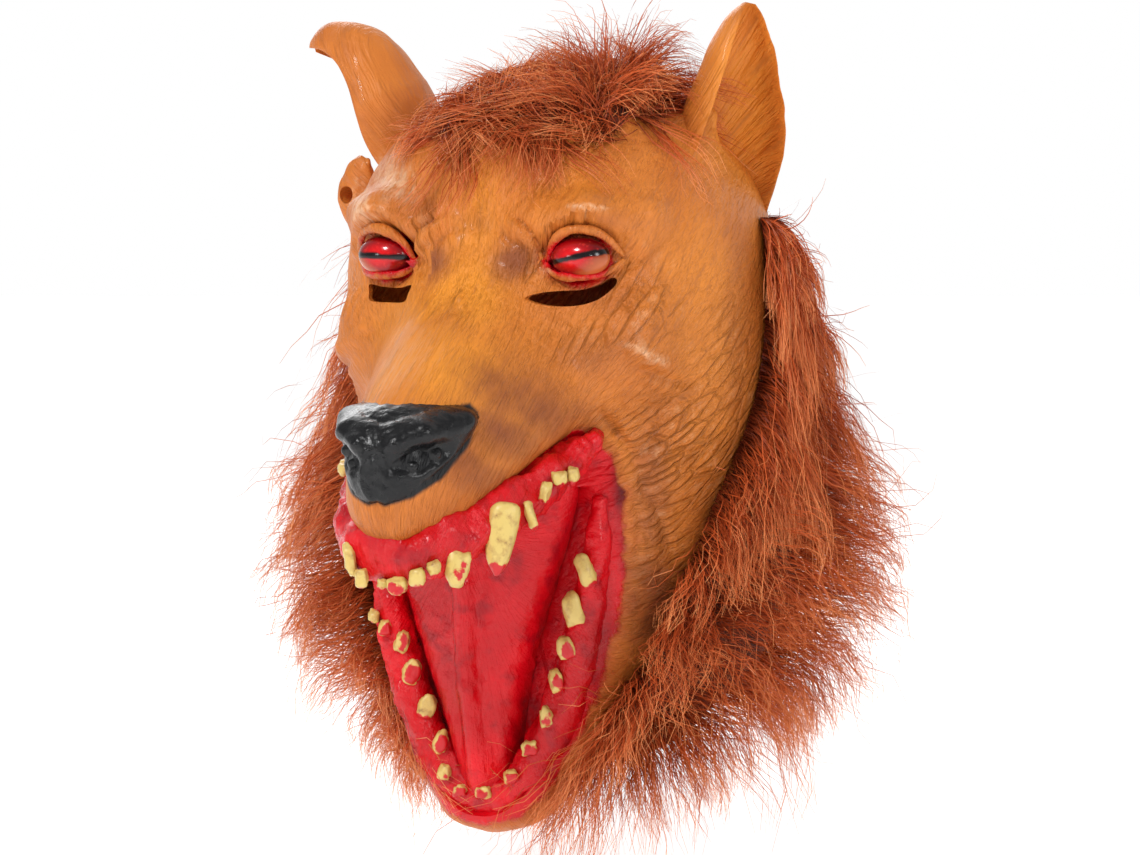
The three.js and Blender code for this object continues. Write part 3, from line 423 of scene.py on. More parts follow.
skin = new_globe("latex_skin", SKIN_SEGMENTS, SKIN_RINGS)
skin_ways = face_directions(skin)
skin_places = RAY_CENTRE + skin_ways * cast(skin_ways, skin_form)[:, None]
set_places(skin, in_frame(skin_places))
normals_out(skin)
skin_normals = get_normals(skin)
face_share = np.clip(-skin_normals[:, 1] * 2, 0, 1)
skin_height = creased(skin_places, skin_normals) + 0.35 * waves(skin_places, 26, 3) * face_share
skin_places += skin_normals * skin_height[:, None]
set_places(skin, in_frame(skin_places))

lining = new_globe("latex_lining", LINING_SEGMENTS, LINING_RINGS)
lining_ways = face_directions(lining)


def palate_level(y):
    return 0.3 * (y + 0.85 * FACE_REACH) - 0.875 * SNOUT_DROP


def lining_form(places):
    """The plain form drawn in by the wall, with room for the mouth and the eyes' sockets."""
    form = plain_form(places)
    nudge = 0.5
    slope = np.stack([plain_form(places + nudge * axis) - form for axis in np.eye(3)], 1) / nudge
    depth = form / np.clip(np.linalg.norm(slope, axis=1), 0.3, 3) + RUBBER_WALL + 0.8
    palate = places[:, 2] - palate_level(places[:, 1]) - RUBBER_WALL
    mouth = np.maximum(np.maximum(palate, places[:, 1] - (MOUTH_DEPTH - FACE_REACH) - 2 * RUBBER_WALL),
                       np.abs(places[:, 0]) - HALF_MOUTH)
    eye = ball(to_right(places), EYE, EYE_RADII + EYE_CLEARANCE + RUBBER_WALL)
    return np.maximum(depth, -np.minimum(mouth, eye))


set_places(lining, in_frame(RAY_CENTRE + lining_ways * cast(lining_ways, lining_form)[:, None]))
normals_out(lining)
bpy.ops.object.mode_set(mode="EDIT")
bpy.ops.mesh.select_all(action="SELECT")
bpy.ops.mesh.flip_normals()
bpy.ops.object.mode_set(mode="OBJECT")
join_pieces([skin, lining])


# The cuts in the rubber. The open mouth is moulded in as a hollow with a palate over it. The two slits that
# the wearer looks through and the neck's rim are cut by hand with a blade, so their edges are raw.
SLIT_RIGHT = [
    (27, -16.4), (32, -14.2), (39, -13.4), (46.6, -13), (53, -11), (57.4, -8.2), (60.2, -8), (61, -10),
    (59, -13.2), (54.2, -17.2), (47.4, -19.5), (39, -20), (31.8, -18.8),
]
SLIT_LEFT = [
    (-57.2, -11.8), (-49, -12.8), (-39, -13), (-30.4, -11.6), (-30.8, -15), (-32.5, -18.8), (-44, -19.5),
    (-55.2, -19), (-57, -15),
]
NECK_FRONT = (-24.6, -228)
NECK_BACK = (121, -155.5)
BELOW_ALL = -400
FAR_ASIDE = 150
RAW_EDGE = math.radians(50)


def round_line(points, count, closed=True):
    """Smooth line through points, as Catmull and Rom draw it."""
    p = np.array(points, float)
    if closed:
        p = np.vstack([p[-1], p, p[:2]])
    else:
        p = np.vstack([2 * p[0] - p[1], p, 2 * p[-1] - p[-2]])
    spans = len(p) - 3
    t = np.linspace(0, spans, count, endpoint=not closed)
    i = np.minimum(t.astype(int), spans - 1)
    u = (t - i)[:, None]
    a, b, c, d = p[i], p[i + 1], p[i + 2], p[i + 3]
    square = (2 * a - 5 * b + 4 * c - d) * u ** 2
    return 0.5 * (2 * b + (c - a) * u + square + (3 * b - a - 3 * c + d) * u ** 3)


def prism(name, loops):
    """Closed solid through loops of points, as a circle extruded from one loop to the next."""
    bpy.ops.object.select_all(action="DESELECT")
    bpy.ops.mesh.primitive_circle_add(vertices=len(loops[0]), fill_type="NGON")
    cutter = bpy.context.object
    cutter.name = name
    bpy.ops.object.mode_set(mode="EDIT")
    for _ in loops[1:]:
        bpy.ops.mesh.extrude_region_move(TRANSFORM_OT_translate={"value": (0, 0, 1)})
    bpy.ops.object.mode_set(mode="OBJECT")
    spots = get_places(cutter)
    count = len(loops[0])
    row = np.round(spots[:, 2]).astype(int)
    column = np.round(np.arctan2(spots[:, 0], spots[:, 1]) / (2 * math.pi) * count).astype(int) % count
    set_places(cutter, in_frame(np.array(loops)[row, column]))
    normals_out(cutter)
    return cutter


def cut(body, cutter):
    tool = body.modifiers.new(cutter.name, "BOOLEAN")
    tool.operation = "DIFFERENCE"
    tool.solver = "MANIFOLD"
    tool.object = cutter
    select_only(body)
    bpy.ops.object.modifier_apply(modifier=cutter.name)
    bpy.data.objects.remove(cutter)


def level_loop(x, y, z):
    """A loop across and up at one depth."""
    return np.stack([x, np.broadcast_to(y, x.shape), z], 1)


for slit_name, slit in (("slit_right", SLIT_RIGHT), ("slit_left", SLIT_LEFT)):
    rim = round_line(slit, 72)
    cut(skin, prism(slit_name, [level_loop(rim[:, 0], y, rim[:, 1]) for y in (-120, -38)]))

mouth_points = [(w * HALF_MOUTH, level * CHIN_DROP) for w, level in MOUTH_EDGE]
mouth_points += [(-x, z) for x, z in mouth_points[-2:0:-1]]
mouth_rim = round_line(mouth_points, 120)
mouth_middle = -0.6 * CHIN_DROP
mouth_steps = [(-0.98 * SNOUT_REACH, 1), (-0.97 * FACE_REACH, 1), (-0.84 * FACE_REACH, 0.9), (-64, 0.74)]
mouth_loops = []
for y, size in mouth_steps:
    z = mouth_middle + (mouth_rim[:, 1] - mouth_middle) * size
    z = smooth_join(z, np.full(len(z), palate_level(y)), 4)
    mouth_loops.append(level_loop(mouth_rim[:, 0] * size, y, z))
cut(skin, prism("mouth_hollow", mouth_loops))

neck_side = np.array([NECK_FRONT, NECK_BACK, (NECK_BACK[0], BELOW_ALL), (NECK_FRONT[0], BELOW_ALL)])
cut(skin, prism("neck_cut", [np.column_stack([np.full(4, x), neck_side]) for x in (-FAR_ASIDE, FAR_ASIDE)]))
select_only(skin)
bpy.ops.object.shade_smooth_by_angle(angle=RAW_EDGE)

# The paint on the rubber. A maker sprays the tan skin first, then brown in the furrows and round the eyes,
# dabs pale paint over the raised wrinkles, and paints the mouth red and the nose black by hand, unevenly.
# Light and shade are painted in as well: shade in the creases, along the jaw and in the mouth's corner, and
# highlights on the wrinkles, the folds, the lids and the ear.
UPPER_GUM = [
    (52, -68.8, -73.9, 6.5), (46.8, -84.3, -84, 9.4), (38.5, -106.6, -96.3, 11.2),
    (27, -132.4, -108.1, 12.5), (14.6, -149.6, -116.5, 13), (0, -155.7, -119.3, 13),
]
NOSE_SECTIONS = [
    (-1.012, 0.2, -0.86, -0.68, 2.2, 0), (-0.988, 0.44, -0.885, -0.595, 2.4, 0),
    (-0.948, 0.68, -0.85, -0.535, 2.5, 0), (-0.884, 0.9, -0.77, -0.5, 2.5, 0),
    (-0.82, 1, -0.69, -0.5, 2.3, 0), (-0.775, 0.97, -0.63, -0.54, 2, 0),
]
HALF_NOSE = 29
NOSE_ROWS = upright_rows(NOSE_SECTIONS, HALF_NOSE)
# Outline of the black nose in the photograph's frame, past the middle line, and a pixel's size there
NOSE_OUTLINE = [
    (330, 446), (362, 432), (400, 423), (440, 411), (470, 405), (478, 414), (468, 444), (442, 478),
    (411, 497), (385, 505), (366, 492), (330, 488),
]
PIXEL = 0.41
# Patches of sprayed and dabbed paint, and of painted light and shade, in the photograph's frame: middle,
# half sizes, turn and strength
# Brighter orange sprayed on the snout and forehead, and painted light on the ear's lit bowl
BRIGHT_SPRAY_AND_LIGHT = [
    ((470, 190), (22, 80), 8, 0.9), ((455, 370), (60, 45), -30, 1), ((410, 330), (35, 60), 0, 0.8),
    ((475, 290), (30, 45), 0, 1), ((575, 180), (60, 30), 0, 0.3), ((700, 300), (40, 90), 0, 0.35),
    ((740, 100), (30, 80), 0, 0.8),
]
# Brown sprayed in the furrows and round the eyes, and painted shade along the jaw and by the mane's edge
BROWN_SPRAY_AND_SHADE = [
    ((450, 215), (50, 22), -10, 0.6), ((385, 215), (40, 22), 0, 0.3), ((515, 262), (30, 22), 20, 0.9),
    ((600, 222), (50, 16), 0, 0.5), ((600, 350), (60, 28), 15, 0.55), ((520, 400), (75, 38), -25, 0.8),
    ((560, 410), (50, 30), -20, 0.6), ((470, 470), (70, 24), -30, 0.7), ((652, 500), (26, 80), 0, 0.7),
    ((650, 600), (34, 60), 0, 0.9), ((500, 430), (50, 30), -25, 0.8), ((610, 300), (36, 30), 0, 0.35),
    ((740, 330), (18, 120), 0, 0.5), ((430, 130), (60, 26), 0, 0.5), ((620, 130), (80, 20), 0, 0.4),
    ((500, 800), (60, 30), 0, 0.3),
]
# Pale paint dabbed on, partly painted highlights where the wrinkles' gloss catches the light
PALE_DAB_AND_HIGHLIGHT = [
    ((395, 180), (32, 26), -30, 0.8), ((360, 200), (16, 40), 0, 0.7), ((650, 360), (30, 16), 20, 0.3),
    ((635, 330), (30, 26), 0, 0.45), ((580, 325), (36, 10), 10, 0.5), ((655, 450), (30, 22), 0, 0.5),
    ((590, 207), (34, 5), -5, 0.5), ((540, 270), (26, 6), 0, 0.6), ((450, 302), (26, 20), 0, 0.45),
    ((340, 130), (14, 40), 0, 0.5), ((510, 330), (20, 60), 20, 0.25),
]
# Where a fine net of wrinkles shows; the paint on its ridges is paler, a painted highlight
WRINKLE_NET = [
    ((680, 445), (60, 55), 0, 1), ((640, 300), (45, 50), 0, 0.8), ((600, 335), (60, 20), 10, 0.7),
    ((455, 302), (26, 24), 0, 0.5), ((420, 235), (70, 40), 0, 0.5), ((730, 380), (30, 90), 0, 0.7),
    ((540, 265), (26, 20), 0, 0.6), ((660, 540), (26, 70), 0, 0.6),
]
# Painted shade in the mouth's deep corner and on the outer lip below it
PAINTED_MOUTH_SHADE = [
    ((622, 484), (9, 42), 0, 1), ((628, 535), (8, 34), 0, 0.8), ((604, 640), (14, 60), 0, 0.45),
]
DEEP_IN_PAINT = 12


def mouth_distance(places):
    """Distance inside the mouth's edge seen from the front, negative outside it."""
    spots = np.stack([np.abs(places[:, 0]), places[:, 2]], 1)
    half = np.array([(w * HALF_MOUTH, level * CHIN_DROP) for w, level in MOUTH_EDGE])
    gap, _ = stroke_distance(spots, [tuple(p) for p in half])
    reach = np.interp(spots[:, 1], half[:, 1], half[:, 0])
    inside = (spots[:, 0] < reach) & (spots[:, 1] > half[0, 1]) & (spots[:, 1] < half[-1, 1])
    return np.where(inside, gap, -gap)


def red_share(places):
    """Millimetres inside the red paint, negative where the rubber stays tan."""
    x, y, z = places.T
    gum = np.array(UPPER_GUM)
    lip = np.interp(y, gum[::-1, 1], gum[::-1, 2]) + 1.5 + 0.05 * (np.abs(x) - 30)
    jaw = mouth_distance(places) + np.interp(z, (-235, -200, -150, -90), (4.5, 3.5, 0.5, -1))
    jaw = np.where(y > -45, -10, jaw)
    snout = lip - z
    share = np.where((y < -83) & (z > -124), snout, jaw)
    share = np.maximum(share, 1.6 - ball(to_right(places), EYE, EYE_RADII + 1.5))
    return np.clip(np.where((y < -95) & (z <= -118), 10, share), -DEEP_IN_PAINT, DEEP_IN_PAINT)


def inside_outline(spots, outline):
    inside = np.zeros(len(spots), bool)
    for (x1, y1), (x2, y2) in zip(outline, outline[1:] + outline[:1]):
        crosses = (y1 > spots[:, 1]) != (y2 > spots[:, 1])
        inside ^= crosses & (spots[:, 0] < x1 + (spots[:, 1] - y1) * (x2 - x1) / ((y2 - y1) or 1e-9))
    return inside


def nose_distance(places):
    """Distance inside the black nose's outline, negative outside it."""
    spots = photo_places(to_right(places))
    gap, _ = stroke_distance(spots, NOSE_OUTLINE + NOSE_OUTLINE[:1])
    share = np.where(inside_outline(spots, NOSE_OUTLINE), gap, -gap) * PIXEL
    return np.where(places[:, 1] < -125, np.clip(share, -DEEP_IN_PAINT, DEEP_IN_PAINT), -DEEP_IN_PAINT)


def patches(spots, table):
    """Strength of the strongest soft patch at each spot."""
    total = np.zeros(len(spots))
    for middle, half, turn, strength in table:
        a = math.radians(turn)
        d = spots - middle
        along = (d[:, 0] * math.cos(a) - d[:, 1] * math.sin(a)) / half[0]
        across = (d[:, 0] * math.sin(a) + d[:, 1] * math.cos(a)) / half[1]
        total = np.maximum(total, strength * np.exp(-(along ** 2 + across ** 2) * 0.8))
    return total


def write_values(obj, name, values):
    layer = obj.data.attributes.new(name, "FLOAT", "POINT")
    layer.data.foreach_set("value", np.asarray(values, np.float32))


def write_vectors(obj, name, vectors):
    layer = obj.data.attributes.new(name, "FLOAT_VECTOR", "POINT")
    layer.data.foreach_set("vector", np.asarray(vectors, np.float32).ravel())


def fur_grain(places):
    """Places unrolled round the snout, so that a pattern on them runs back from the nose."""
    from_centre = places - RAY_CENTRE
    pole = np.array(RAY_POLE)
    ahead = from_centre @ pole
    round_pole = from_centre - ahead[:, None] * pole
    flat = np.linalg.norm(round_pole, axis=1)
    angle = np.arctan2(flat, ahead)
    return (round_pole / np.maximum(flat, 1e-6)[:, None] * 75 + pole * (angle * 100)[:, None] * 0.22) * MM


def paint_rubber(obj, red=None, height=None):
    """Writes what the paint on each point depends on."""
    places = in_face(get_places(obj))
    write_vectors(obj, "grain", fur_grain(places))
    facing = get_normals(obj)
    front = front_share(facing)
    seen = photo_places(places)
    shown = np.where((places[:, 0] < -20)[:, None], seen, photo_places(to_right(places)))
    write_values(obj, "red", red_share(places) if red is None else red)
    write_values(obj, "black", nose_distance(places))
    write_values(obj, "shade", patches(seen, PAINTED_MOUTH_SHADE) * (places[:, 0] > 0))
    tables = {"net": WRINKLE_NET, "bright": BRIGHT_SPRAY_AND_LIGHT, "brown": BROWN_SPRAY_AND_SHADE, "pale": PALE_DAB_AND_HIGHLIGHT}
    for name, table in tables.items():
        write_values(obj, name, patches(shown, table) * front)
    write_values(obj, "height", creased(places, facing) if height is None else height)


def colour(red, green, blue):
    """Linear light of a colour given in steps of 255."""
    steps = [c / 255 for c in (red, green, blue)]
    return tuple(c / 12.92 if c <= 0.04045 else ((c + 0.055) / 1.055) ** 2.4 for c in steps) + (1,)


class Value:
    """A socket of a finish, so that sums on it are written as plain expressions."""

    def __init__(self, finish, socket):
        self.finish = finish
        self.socket = socket

    def maths(self, operation, first, second):
        return self.finish.node("ShaderNodeMath", {"operation": operation}, {0: first, 1: second})

    def __add__(self, other):
        return self.maths("ADD", self, other)

    def __sub__(self, other):
        return self.maths("SUBTRACT", self, other)

    def __rsub__(self, other):
        return self.maths("SUBTRACT", other, self)

    def __mul__(self, other):
        return self.maths("MULTIPLY", self, other)

    __radd__ = __add__
    __rmul__ = __mul__

    def step(self, low, high):
        ends = {"From Min": low, "From Max": high, "To Min": 0, "To Max": 1}
        return self.finish.node("ShaderNodeMapRange", {"interpolation_type": "SMOOTHSTEP"},
                                {"Value": self, **ends})


class Finish:
    """A material whose nodes are added one by one."""

    def __init__(self, name):
        self.material = bpy.data.materials.new(name)
        self.material.use_nodes = True
        self.tree = self.material.node_tree
        self.shader = self.tree.nodes["Principled BSDF"]

    def node(self, kind, settings=None, inputs=None, output=0):
        made = self.tree.nodes.new(kind)
        for key, setting in (settings or {}).items():
            setattr(made, key, setting)
        for key, given in (inputs or {}).items():
            self.feed(made.inputs[key], given)
        return Value(self, made.outputs[output])

    def feed(self, socket, given):
        if isinstance(given, Value):
            self.tree.links.new(given.socket, socket)
        else:
            socket.default_value = given

    def place(self):
        return self.node("ShaderNodeTexCoord", output="Object")

    def value(self, name):
        return self.node("ShaderNodeAttribute", {"attribute_name": name}, output="Fac")

    def noise(self, scale, detail=2, stretch=None, rough=0.5, on=None):
        where = on or self.place()
        if stretch:
            where = self.node("ShaderNodeMapping", inputs={"Vector": where, "Scale": stretch})
        return self.node("ShaderNodeTexNoise", None,
                         {"Vector": where, "Scale": scale, "Detail": detail, "Roughness": rough})

    def mix(self, share, first, second):
        made = self.tree.nodes.new("ShaderNodeMix")
        made.data_type = "RGBA"
        self.feed(made.inputs[0], share)
        self.feed(made.inputs[6], first)
        self.feed(made.inputs[7], second)
        return Value(self, made.outputs[2])

    def finish(self, **inputs):
        for name, given in inputs.items():
            self.feed(self.shader.inputs[name.replace("_", " ")], given)
        return self.material


def bump(finish, height, strength, distance):
    return finish.node("ShaderNodeBump", None,
                       {"Height": height, "Strength": strength, "Distance": distance})


def rubber_finish(name):
    paint = Finish(name)
    broad = paint.noise(28, 3)
    fine = paint.noise(320, 4, rough=0.65)
    blotch = paint.noise(95, 3)
    grain = paint.node("ShaderNodeAttribute", {"attribute_name": "grain"}, output="Vector")
    strokes = paint.noise(430, 3, rough=0.65, on=grain)
    height = paint.value("height")
    net = paint.node("ShaderNodeTexVoronoi", {"feature": "DISTANCE_TO_EDGE"},
                     {"Vector": grain, "Scale": 210})
    cells = net + fine * 0.12
    tan = paint.mix(broad.step(0.35, 0.65), colour(192, 106, 40), colour(208, 120, 46))
    # Brighter spray, with painted light on the ear's bowl
    tan = paint.mix(paint.value("bright") * 0.85, tan, colour(240, 150, 46))
    # Brown spray, with painted shade along the jaw where the mane shades it
    tan = paint.mix((paint.value("brown") * (blotch + 0.55)).step(0.1, 1.1), tan, colour(140, 74, 38))
    # Painted shade in the creases, darker where they are deeper
    tan = paint.mix((0 - height).step(0.7, 3) * 0.45, tan, colour(118, 56, 22))
    # Pale dabs, with painted highlights on the raised folds and wrinkles
    dabs_and_highlights = (paint.value("pale") * 1.2 + height * 0.25) * (fine + strokes - 0.35)
    tan = paint.mix(dabs_and_highlights.step(0.28, 0.85) * 0.8, tan, colour(240, 192, 150))
    tan = paint.mix(strokes.step(0.54, 0.7) * 0.45, tan, colour(150, 84, 38))
    tan = paint.mix(fine.step(0.68, 0.74) * 0.3, tan, colour(110, 60, 30))
    # Painted highlights on the ridges of the wrinkle net
    ridge_highlights = cells.step(0.16, 0.4) * (fine * 2 - 0.4)
    tan = paint.mix(ridge_highlights.step(0.3, 0.9) * paint.value("net") * 0.35, tan, colour(236, 180, 132))
    edge = blotch * 6 + fine * 3 - 4.5
    red = paint.mix(broad.step(0.3, 0.7), colour(190, 2, 14), colour(220, 8, 24))
    red = paint.mix(blotch.step(0.5, 0.75) * 0.6, red, colour(128, 2, 20))
    # Painted shade deep in the mouth's corner and on the outer lip
    red = paint.mix(paint.value("shade") * 0.85, red, colour(46, 4, 6))
    uneven_red = paint.value("red") + edge
    red_cover = uneven_red.step(-1.2, 1.2)
    worn = uneven_red.step(-5, 1) * 0.4
    skin_colour = paint.mix(worn, tan, colour(170, 60, 40))
    skin_colour = paint.mix(red_cover, skin_colour, red)
    black_cover = (paint.value("black") + edge * 0.25).step(-1.6, 0.4)
    skin_colour = paint.mix(black_cover, skin_colour, colour(20, 20, 22))
    furrows = cells.step(0.03, 0.2) * paint.value("net")
    relief = furrows * 1.8 + strokes.step(0.36, 0.64) * (1 - red_cover * 0.7) * 0.6
    relief = relief + fine * 0.3 + (blotch + fine * 0.4) * red_cover
    rough = 0.4 + fine * 0.16 - red_cover * 0.28 - black_cover * 0.1 - paint.value("net") * 0.12
    coat = 0.05 + red_cover * 0.12 + black_cover * 0.06
    return paint.finish(Base_Color=skin_colour, Roughness=rough, Coat_Weight=coat, Coat_Roughness=0.08,
                        Specular_IOR_Level=0.28, Normal=bump(paint, relief, 0.9, 0.0016))


rubber = rubber_finish("painted_latex")


def set_finish(obj, material, node):
    obj.data.materials.clear()
    obj.data.materials.append(material)
    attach(obj, "root")
    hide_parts(node)


paint_rubber(skin)
set_finish(skin, rubber, "latex_mask")

# The ears. Each is a cupped leaf of the same latex with a rounded, slightly thicker rim. The right one
# stands up, and the left one has sagged, so its tip bends over outwards. A small lobe with a hole is at its
# foot.
EAR_LENGTH = 92
EAR_WIDTH = 60
EAR_ROWS = 96
EAR_FOOT = np.array([81.6, 9.3, 22.95])
EAR_OPENING = np.array([math.cos(0.4), -math.sin(0.4), 0])
# share of the width, degrees that it wraps to each side, thickness in millimetres
EAR_SECTIONS = [
    (0, 1.08, 70, 3.4), (0.25, 1, 95, 3.2), (0.43, 0.84, 105, 3), (0.6, 0.62, 108, 2.8),
    (0.78, 0.43, 108, 2.6), (0.92, 0.25, 105, 2.4), (1, 0.1, 100, 2),
]
# outward, forward and up in shares of the ear's length, and swell of the width
UPRIGHT_EAR = [
    (-0.02, 0, -0.2, 1), (0, 0, 0.1, 1), (0.02, 0, 0.32, 1), (0.04, 0, 0.52, 1), (0.07, 0.01, 0.72, 1),
    (0.09, 0.02, 0.87, 1), (0.1, 0.02, 0.97, 1),
]
BENT_EAR = [
    (0.04, 0, -0.2, 1), (0.08, 0, 0.1, 1.05), (0.13, 0.02, 0.32, 1.12), (0.17, 0.04, 0.53, 1.2),
    (0.25, 0.07, 0.7, 1.25), (0.37, 0.09, 0.78, 1.2), (0.49, 0.1, 0.79, 1.3),
]


def globe_shares(globe):
    """Each point's share of the way from the low pole to the high one, and its turn round the axis."""
    unit = get_ways(globe)
    at_pole = np.hypot(unit[:, 0], unit[:, 1]) < 1e-4
    turn = np.where(at_pole, math.pi / 2, np.arctan2(unit[:, 1], unit[:, 0]))
    return np.arccos(np.clip(-unit[:, 2], -1, 1)) / math.pi, turn


def turned_frames(line, facing):
    """Directions along a line, and a facing that turns with it."""
    ahead = np.gradient(line, axis=0)
    ahead /= np.linalg.norm(ahead, axis=1)[:, None]
    facings = []
    for way in ahead:
        facing = facing - way * (facing @ way)
        facing = facing / np.linalg.norm(facing)
        facings.append(facing)
    return ahead, np.array(facings)


def nearest_stop(along, stops):
    """The stop of a fine line that each share of its length is nearest to."""
    return np.clip((along * (stops - 1)).round().astype(int), 0, stops - 1)


def make_ear(name, table, side):
    ear = new_globe(name, 80, EAR_ROWS)
    along, turn = globe_shares(ear)
    stops = EAR_ROWS * 4
    middles = [EAR_FOOT + np.array([out, -forward, up]) * EAR_LENGTH for out, forward, up, _ in table]
    line = round_line(middles, stops, closed=False)
    swell = round_line([(row[3], 0) for row in table], stops, closed=False)[:, 0]
    ahead, facing = turned_frames(line, EAR_OPENING)
    edge = np.cross(ahead, facing)
    at = nearest_stop(along, stops)
    wide, wrap, thick = curve_through(EAR_SECTIONS, along).T
    radius = wide * swell[at] * EAR_WIDTH / 2
    across = np.cos(turn)
    rim = np.abs(across) ** 6
    ripple = 0.7 * np.sin(9 * along + 3 * across)
    ripple = ripple + 0.5 * waves(line[at] + radius[:, None] * across[:, None], 14, 5)
    wall = np.sin(turn) * thick * (0.5 + 0.25 * rim)
    depth = radius - thick / 2 + ripple * np.minimum(1, 6 * (1 - along)) + wall
    angle = math.pi + np.radians(wrap) * across
    ways = facing[at] * np.cos(angle)[:, None] + edge[at] * np.sin(angle)[:, None]
    places = line[at] + ways * np.maximum(depth, 0.2)[:, None]
    places[:, 0] *= side
    set_places(ear, in_frame(places))
    normals_out(ear)
    bowl = np.sin(turn) < 0
    # Height for the paint: a painted highlight of pale paint along the rim, a little less in the bowl
    height = 0.8 * rim * np.minimum(1, 4 * along) - 0.4 * bowl
    paint_rubber(ear, red=np.full(len(places), -DEEP_IN_PAINT), height=height)
    set_finish(ear, rubber, "latex_mask")


make_ear("ear_upright", UPRIGHT_EAR, 1)
make_ear("ear_bent", BENT_EAR, -1)

LOBE = np.array([-91, -22.1, 27.5])
LOBE_RADII = np.array([9, 6, 18])
LOBE_HOLE = 4
lobe = new_globe("ear_lobe", 64, 48)
lobe_places = get_places(lobe)
lobe_places = LOBE + lobe_places * LOBE_RADII * (1 + 0.06 * waves(lobe_places * 20, 16, 8))[:, None]
lobe_places[:, 0] += 3.5 * np.clip((lobe_places[:, 2] - LOBE[2]) / LOBE_RADII[2], -1, 1) ** 2
set_places(lobe, in_frame(lobe_places))
normals_out(lobe)
ring = np.linspace(0, 2 * math.pi, 32, endpoint=False)
hole_x = LOBE[0] - 1 + LOBE_HOLE * np.cos(ring)
hole_z = LOBE[2] + LOBE_HOLE * np.sin(ring)
cut(lobe, prism("lobe_hole", [level_loop(hole_x + 0.3 * y, LOBE[1] + y, hole_z) for y in (-21, 21)]))
bpy.ops.object.shade_smooth_by_angle(angle=RAW_EDGE)
paint_rubber(lobe, height=np.zeros(len(lobe.data.vertices)))
set_finish(lobe, rubber, "latex_mask")

# The nose pad, cast with the snout and brushed with gloss black. It wraps over the tip in a rounded wedge,
# with a groove down the middle and a long nostril on each side that holds two small lumps.
NOSTRIL = [((10, -173, -82.5), 3.2), ((17, -168, -80), 4.6), ((24, -158.5, -76.5), 3.6)]
NOSTRIL_LUMPS = [((13, -166.5, -82.5), 2.4), ((19.5, -159.5, -78), 2.4)]
GROOVE = [((0, -177, -80), 1.6), ((0, -177.5, -92), 2.6), ((0, -177, -112), 1.8)]
NOSE_RIDGE = [((8, -171, -74), 4), ((17, -164, -70), 4), ((27, -147, -66), 3)]
NOSE_CENTRE = np.array([0, -156, -78])


def nose_form(places):
    right = to_right(places)
    form = section_body(NOSE_ROWS, places[:, 1], places[:, 0], places[:, 2])
    form = smooth_join(form, chain(right, NOSE_RIDGE, 4), 5)
    form = -smooth_join(-form, chain(right, NOSTRIL, 3), 2.5)
    form = smooth_join(form, np.minimum(*[ball(right, at, (r, r, r)) for at, r in NOSTRIL_LUMPS]), 1)
    return -smooth_join(-form, chain(right, GROOVE, 3), 1.5)


nose = new_globe("nose_pad", 124, 84)
nose_ways = get_places(nose)
nose_ways = nose_ways[:, [0, 2, 1]] * [1, -1, 1]
nose_ways /= np.linalg.norm(nose_ways, axis=1)[:, None]
nose_places = NOSE_CENTRE + nose_ways * cast(nose_ways, nose_form, 1, 1.5, 60, NOSE_CENTRE)[:, None]
nose_outside = np.clip(-nose_distance(nose_places) / 2.5, -1, 1)
nose_sink = 2.6 * (nose_outside * 0.5 + 0.5) ** 2 - 1.2 - 0.2 * waves(nose_places, 5, 11)
nose_places -= nose_ways * nose_sink[:, None]
set_places(nose, in_frame(nose_places))
normals_out(nose)
nose_paint = Finish("black_gloss")
nose_grain = nose_paint.noise(420, 3, rough=0.6)
nose_spray = nose_paint.noise(150, 2)
nose_black = nose_paint.mix(nose_grain.step(0.5, 0.8) * 0.5, colour(12, 12, 14), colour(36, 34, 34))
nose_paint.finish(Base_Color=nose_black, Roughness=0.2 + nose_spray * 0.16, Specular_IOR_Level=0.3,
                  Coat_Weight=0.1, Coat_Roughness=0.1,
                  Normal=bump(nose_paint, nose_grain + nose_spray, 0.5, 0.0008))
set_finish(nose, nose_paint.material, "latex_mask")

# The gums, cast with the jaws and painted glossy red: an upper roll under the snout, and a lower roll that
# follows the rim of the jaw from corner to corner. Both are lumpy between the teeth.
LOWER_GUM = [
    (51.6, -66, -100.8, 6), (51, -69.5, -130, 8), (45.4, -71, -162, 9), (37, -71.5, -191, 9.4),
    (26.2, -71.5, -215, 9.4), (14, -71, -230, 9), (0, -71, -235.5, 9),
]


def both_sides(stops):
    return [(-x, y, z, r) for x, y, z, r in stops] + stops[-2::-1]


def make_roll(name, stops, segments, rows, lumps, seed):
    roll = new_globe(name, segments, rows)
    along, turn = globe_shares(roll)
    line = round_line(stops, rows * 4, closed=False)
    ahead, up = turned_frames(line[:, :3], np.array([0, 0, 1.0]))
    side = np.cross(ahead, up)
    at = nearest_stop(along, rows * 4)
    radius = line[at, 3] * np.sin(math.pi * np.clip(along, 0, 1)) ** 0.18
    ways = up[at] * np.cos(turn)[:, None] + side[at] * np.sin(turn)[:, None]
    spots = line[at, :3] + ways * radius[:, None]
    radius = radius + lumps * (waves(spots * [1, 0.7, 0.5], 12, seed) + 0.4 * waves(spots, 5, seed + 1))
    places = line[at, :3] + ways * np.maximum(radius, 0.05)[:, None]
    set_places(roll, in_frame(places))
    normals_out(roll)
    return roll, places


def paint_all_red(obj):
    count = len(obj.data.vertices)
    paint_rubber(obj, red=np.full(count, DEEP_IN_PAINT), height=np.zeros(count))
    set_finish(obj, rubber, "latex_mask")


upper_gum, upper_places = make_roll("upper_gum", both_sides(UPPER_GUM), 50, 250, 1.5, 21)
paint_all_red(upper_gum)
lower_gum, lower_places = make_roll("lower_gum", both_sides(LOWER_GUM), 38, 240, 1.1, 24)
paint_all_red(lower_gum)

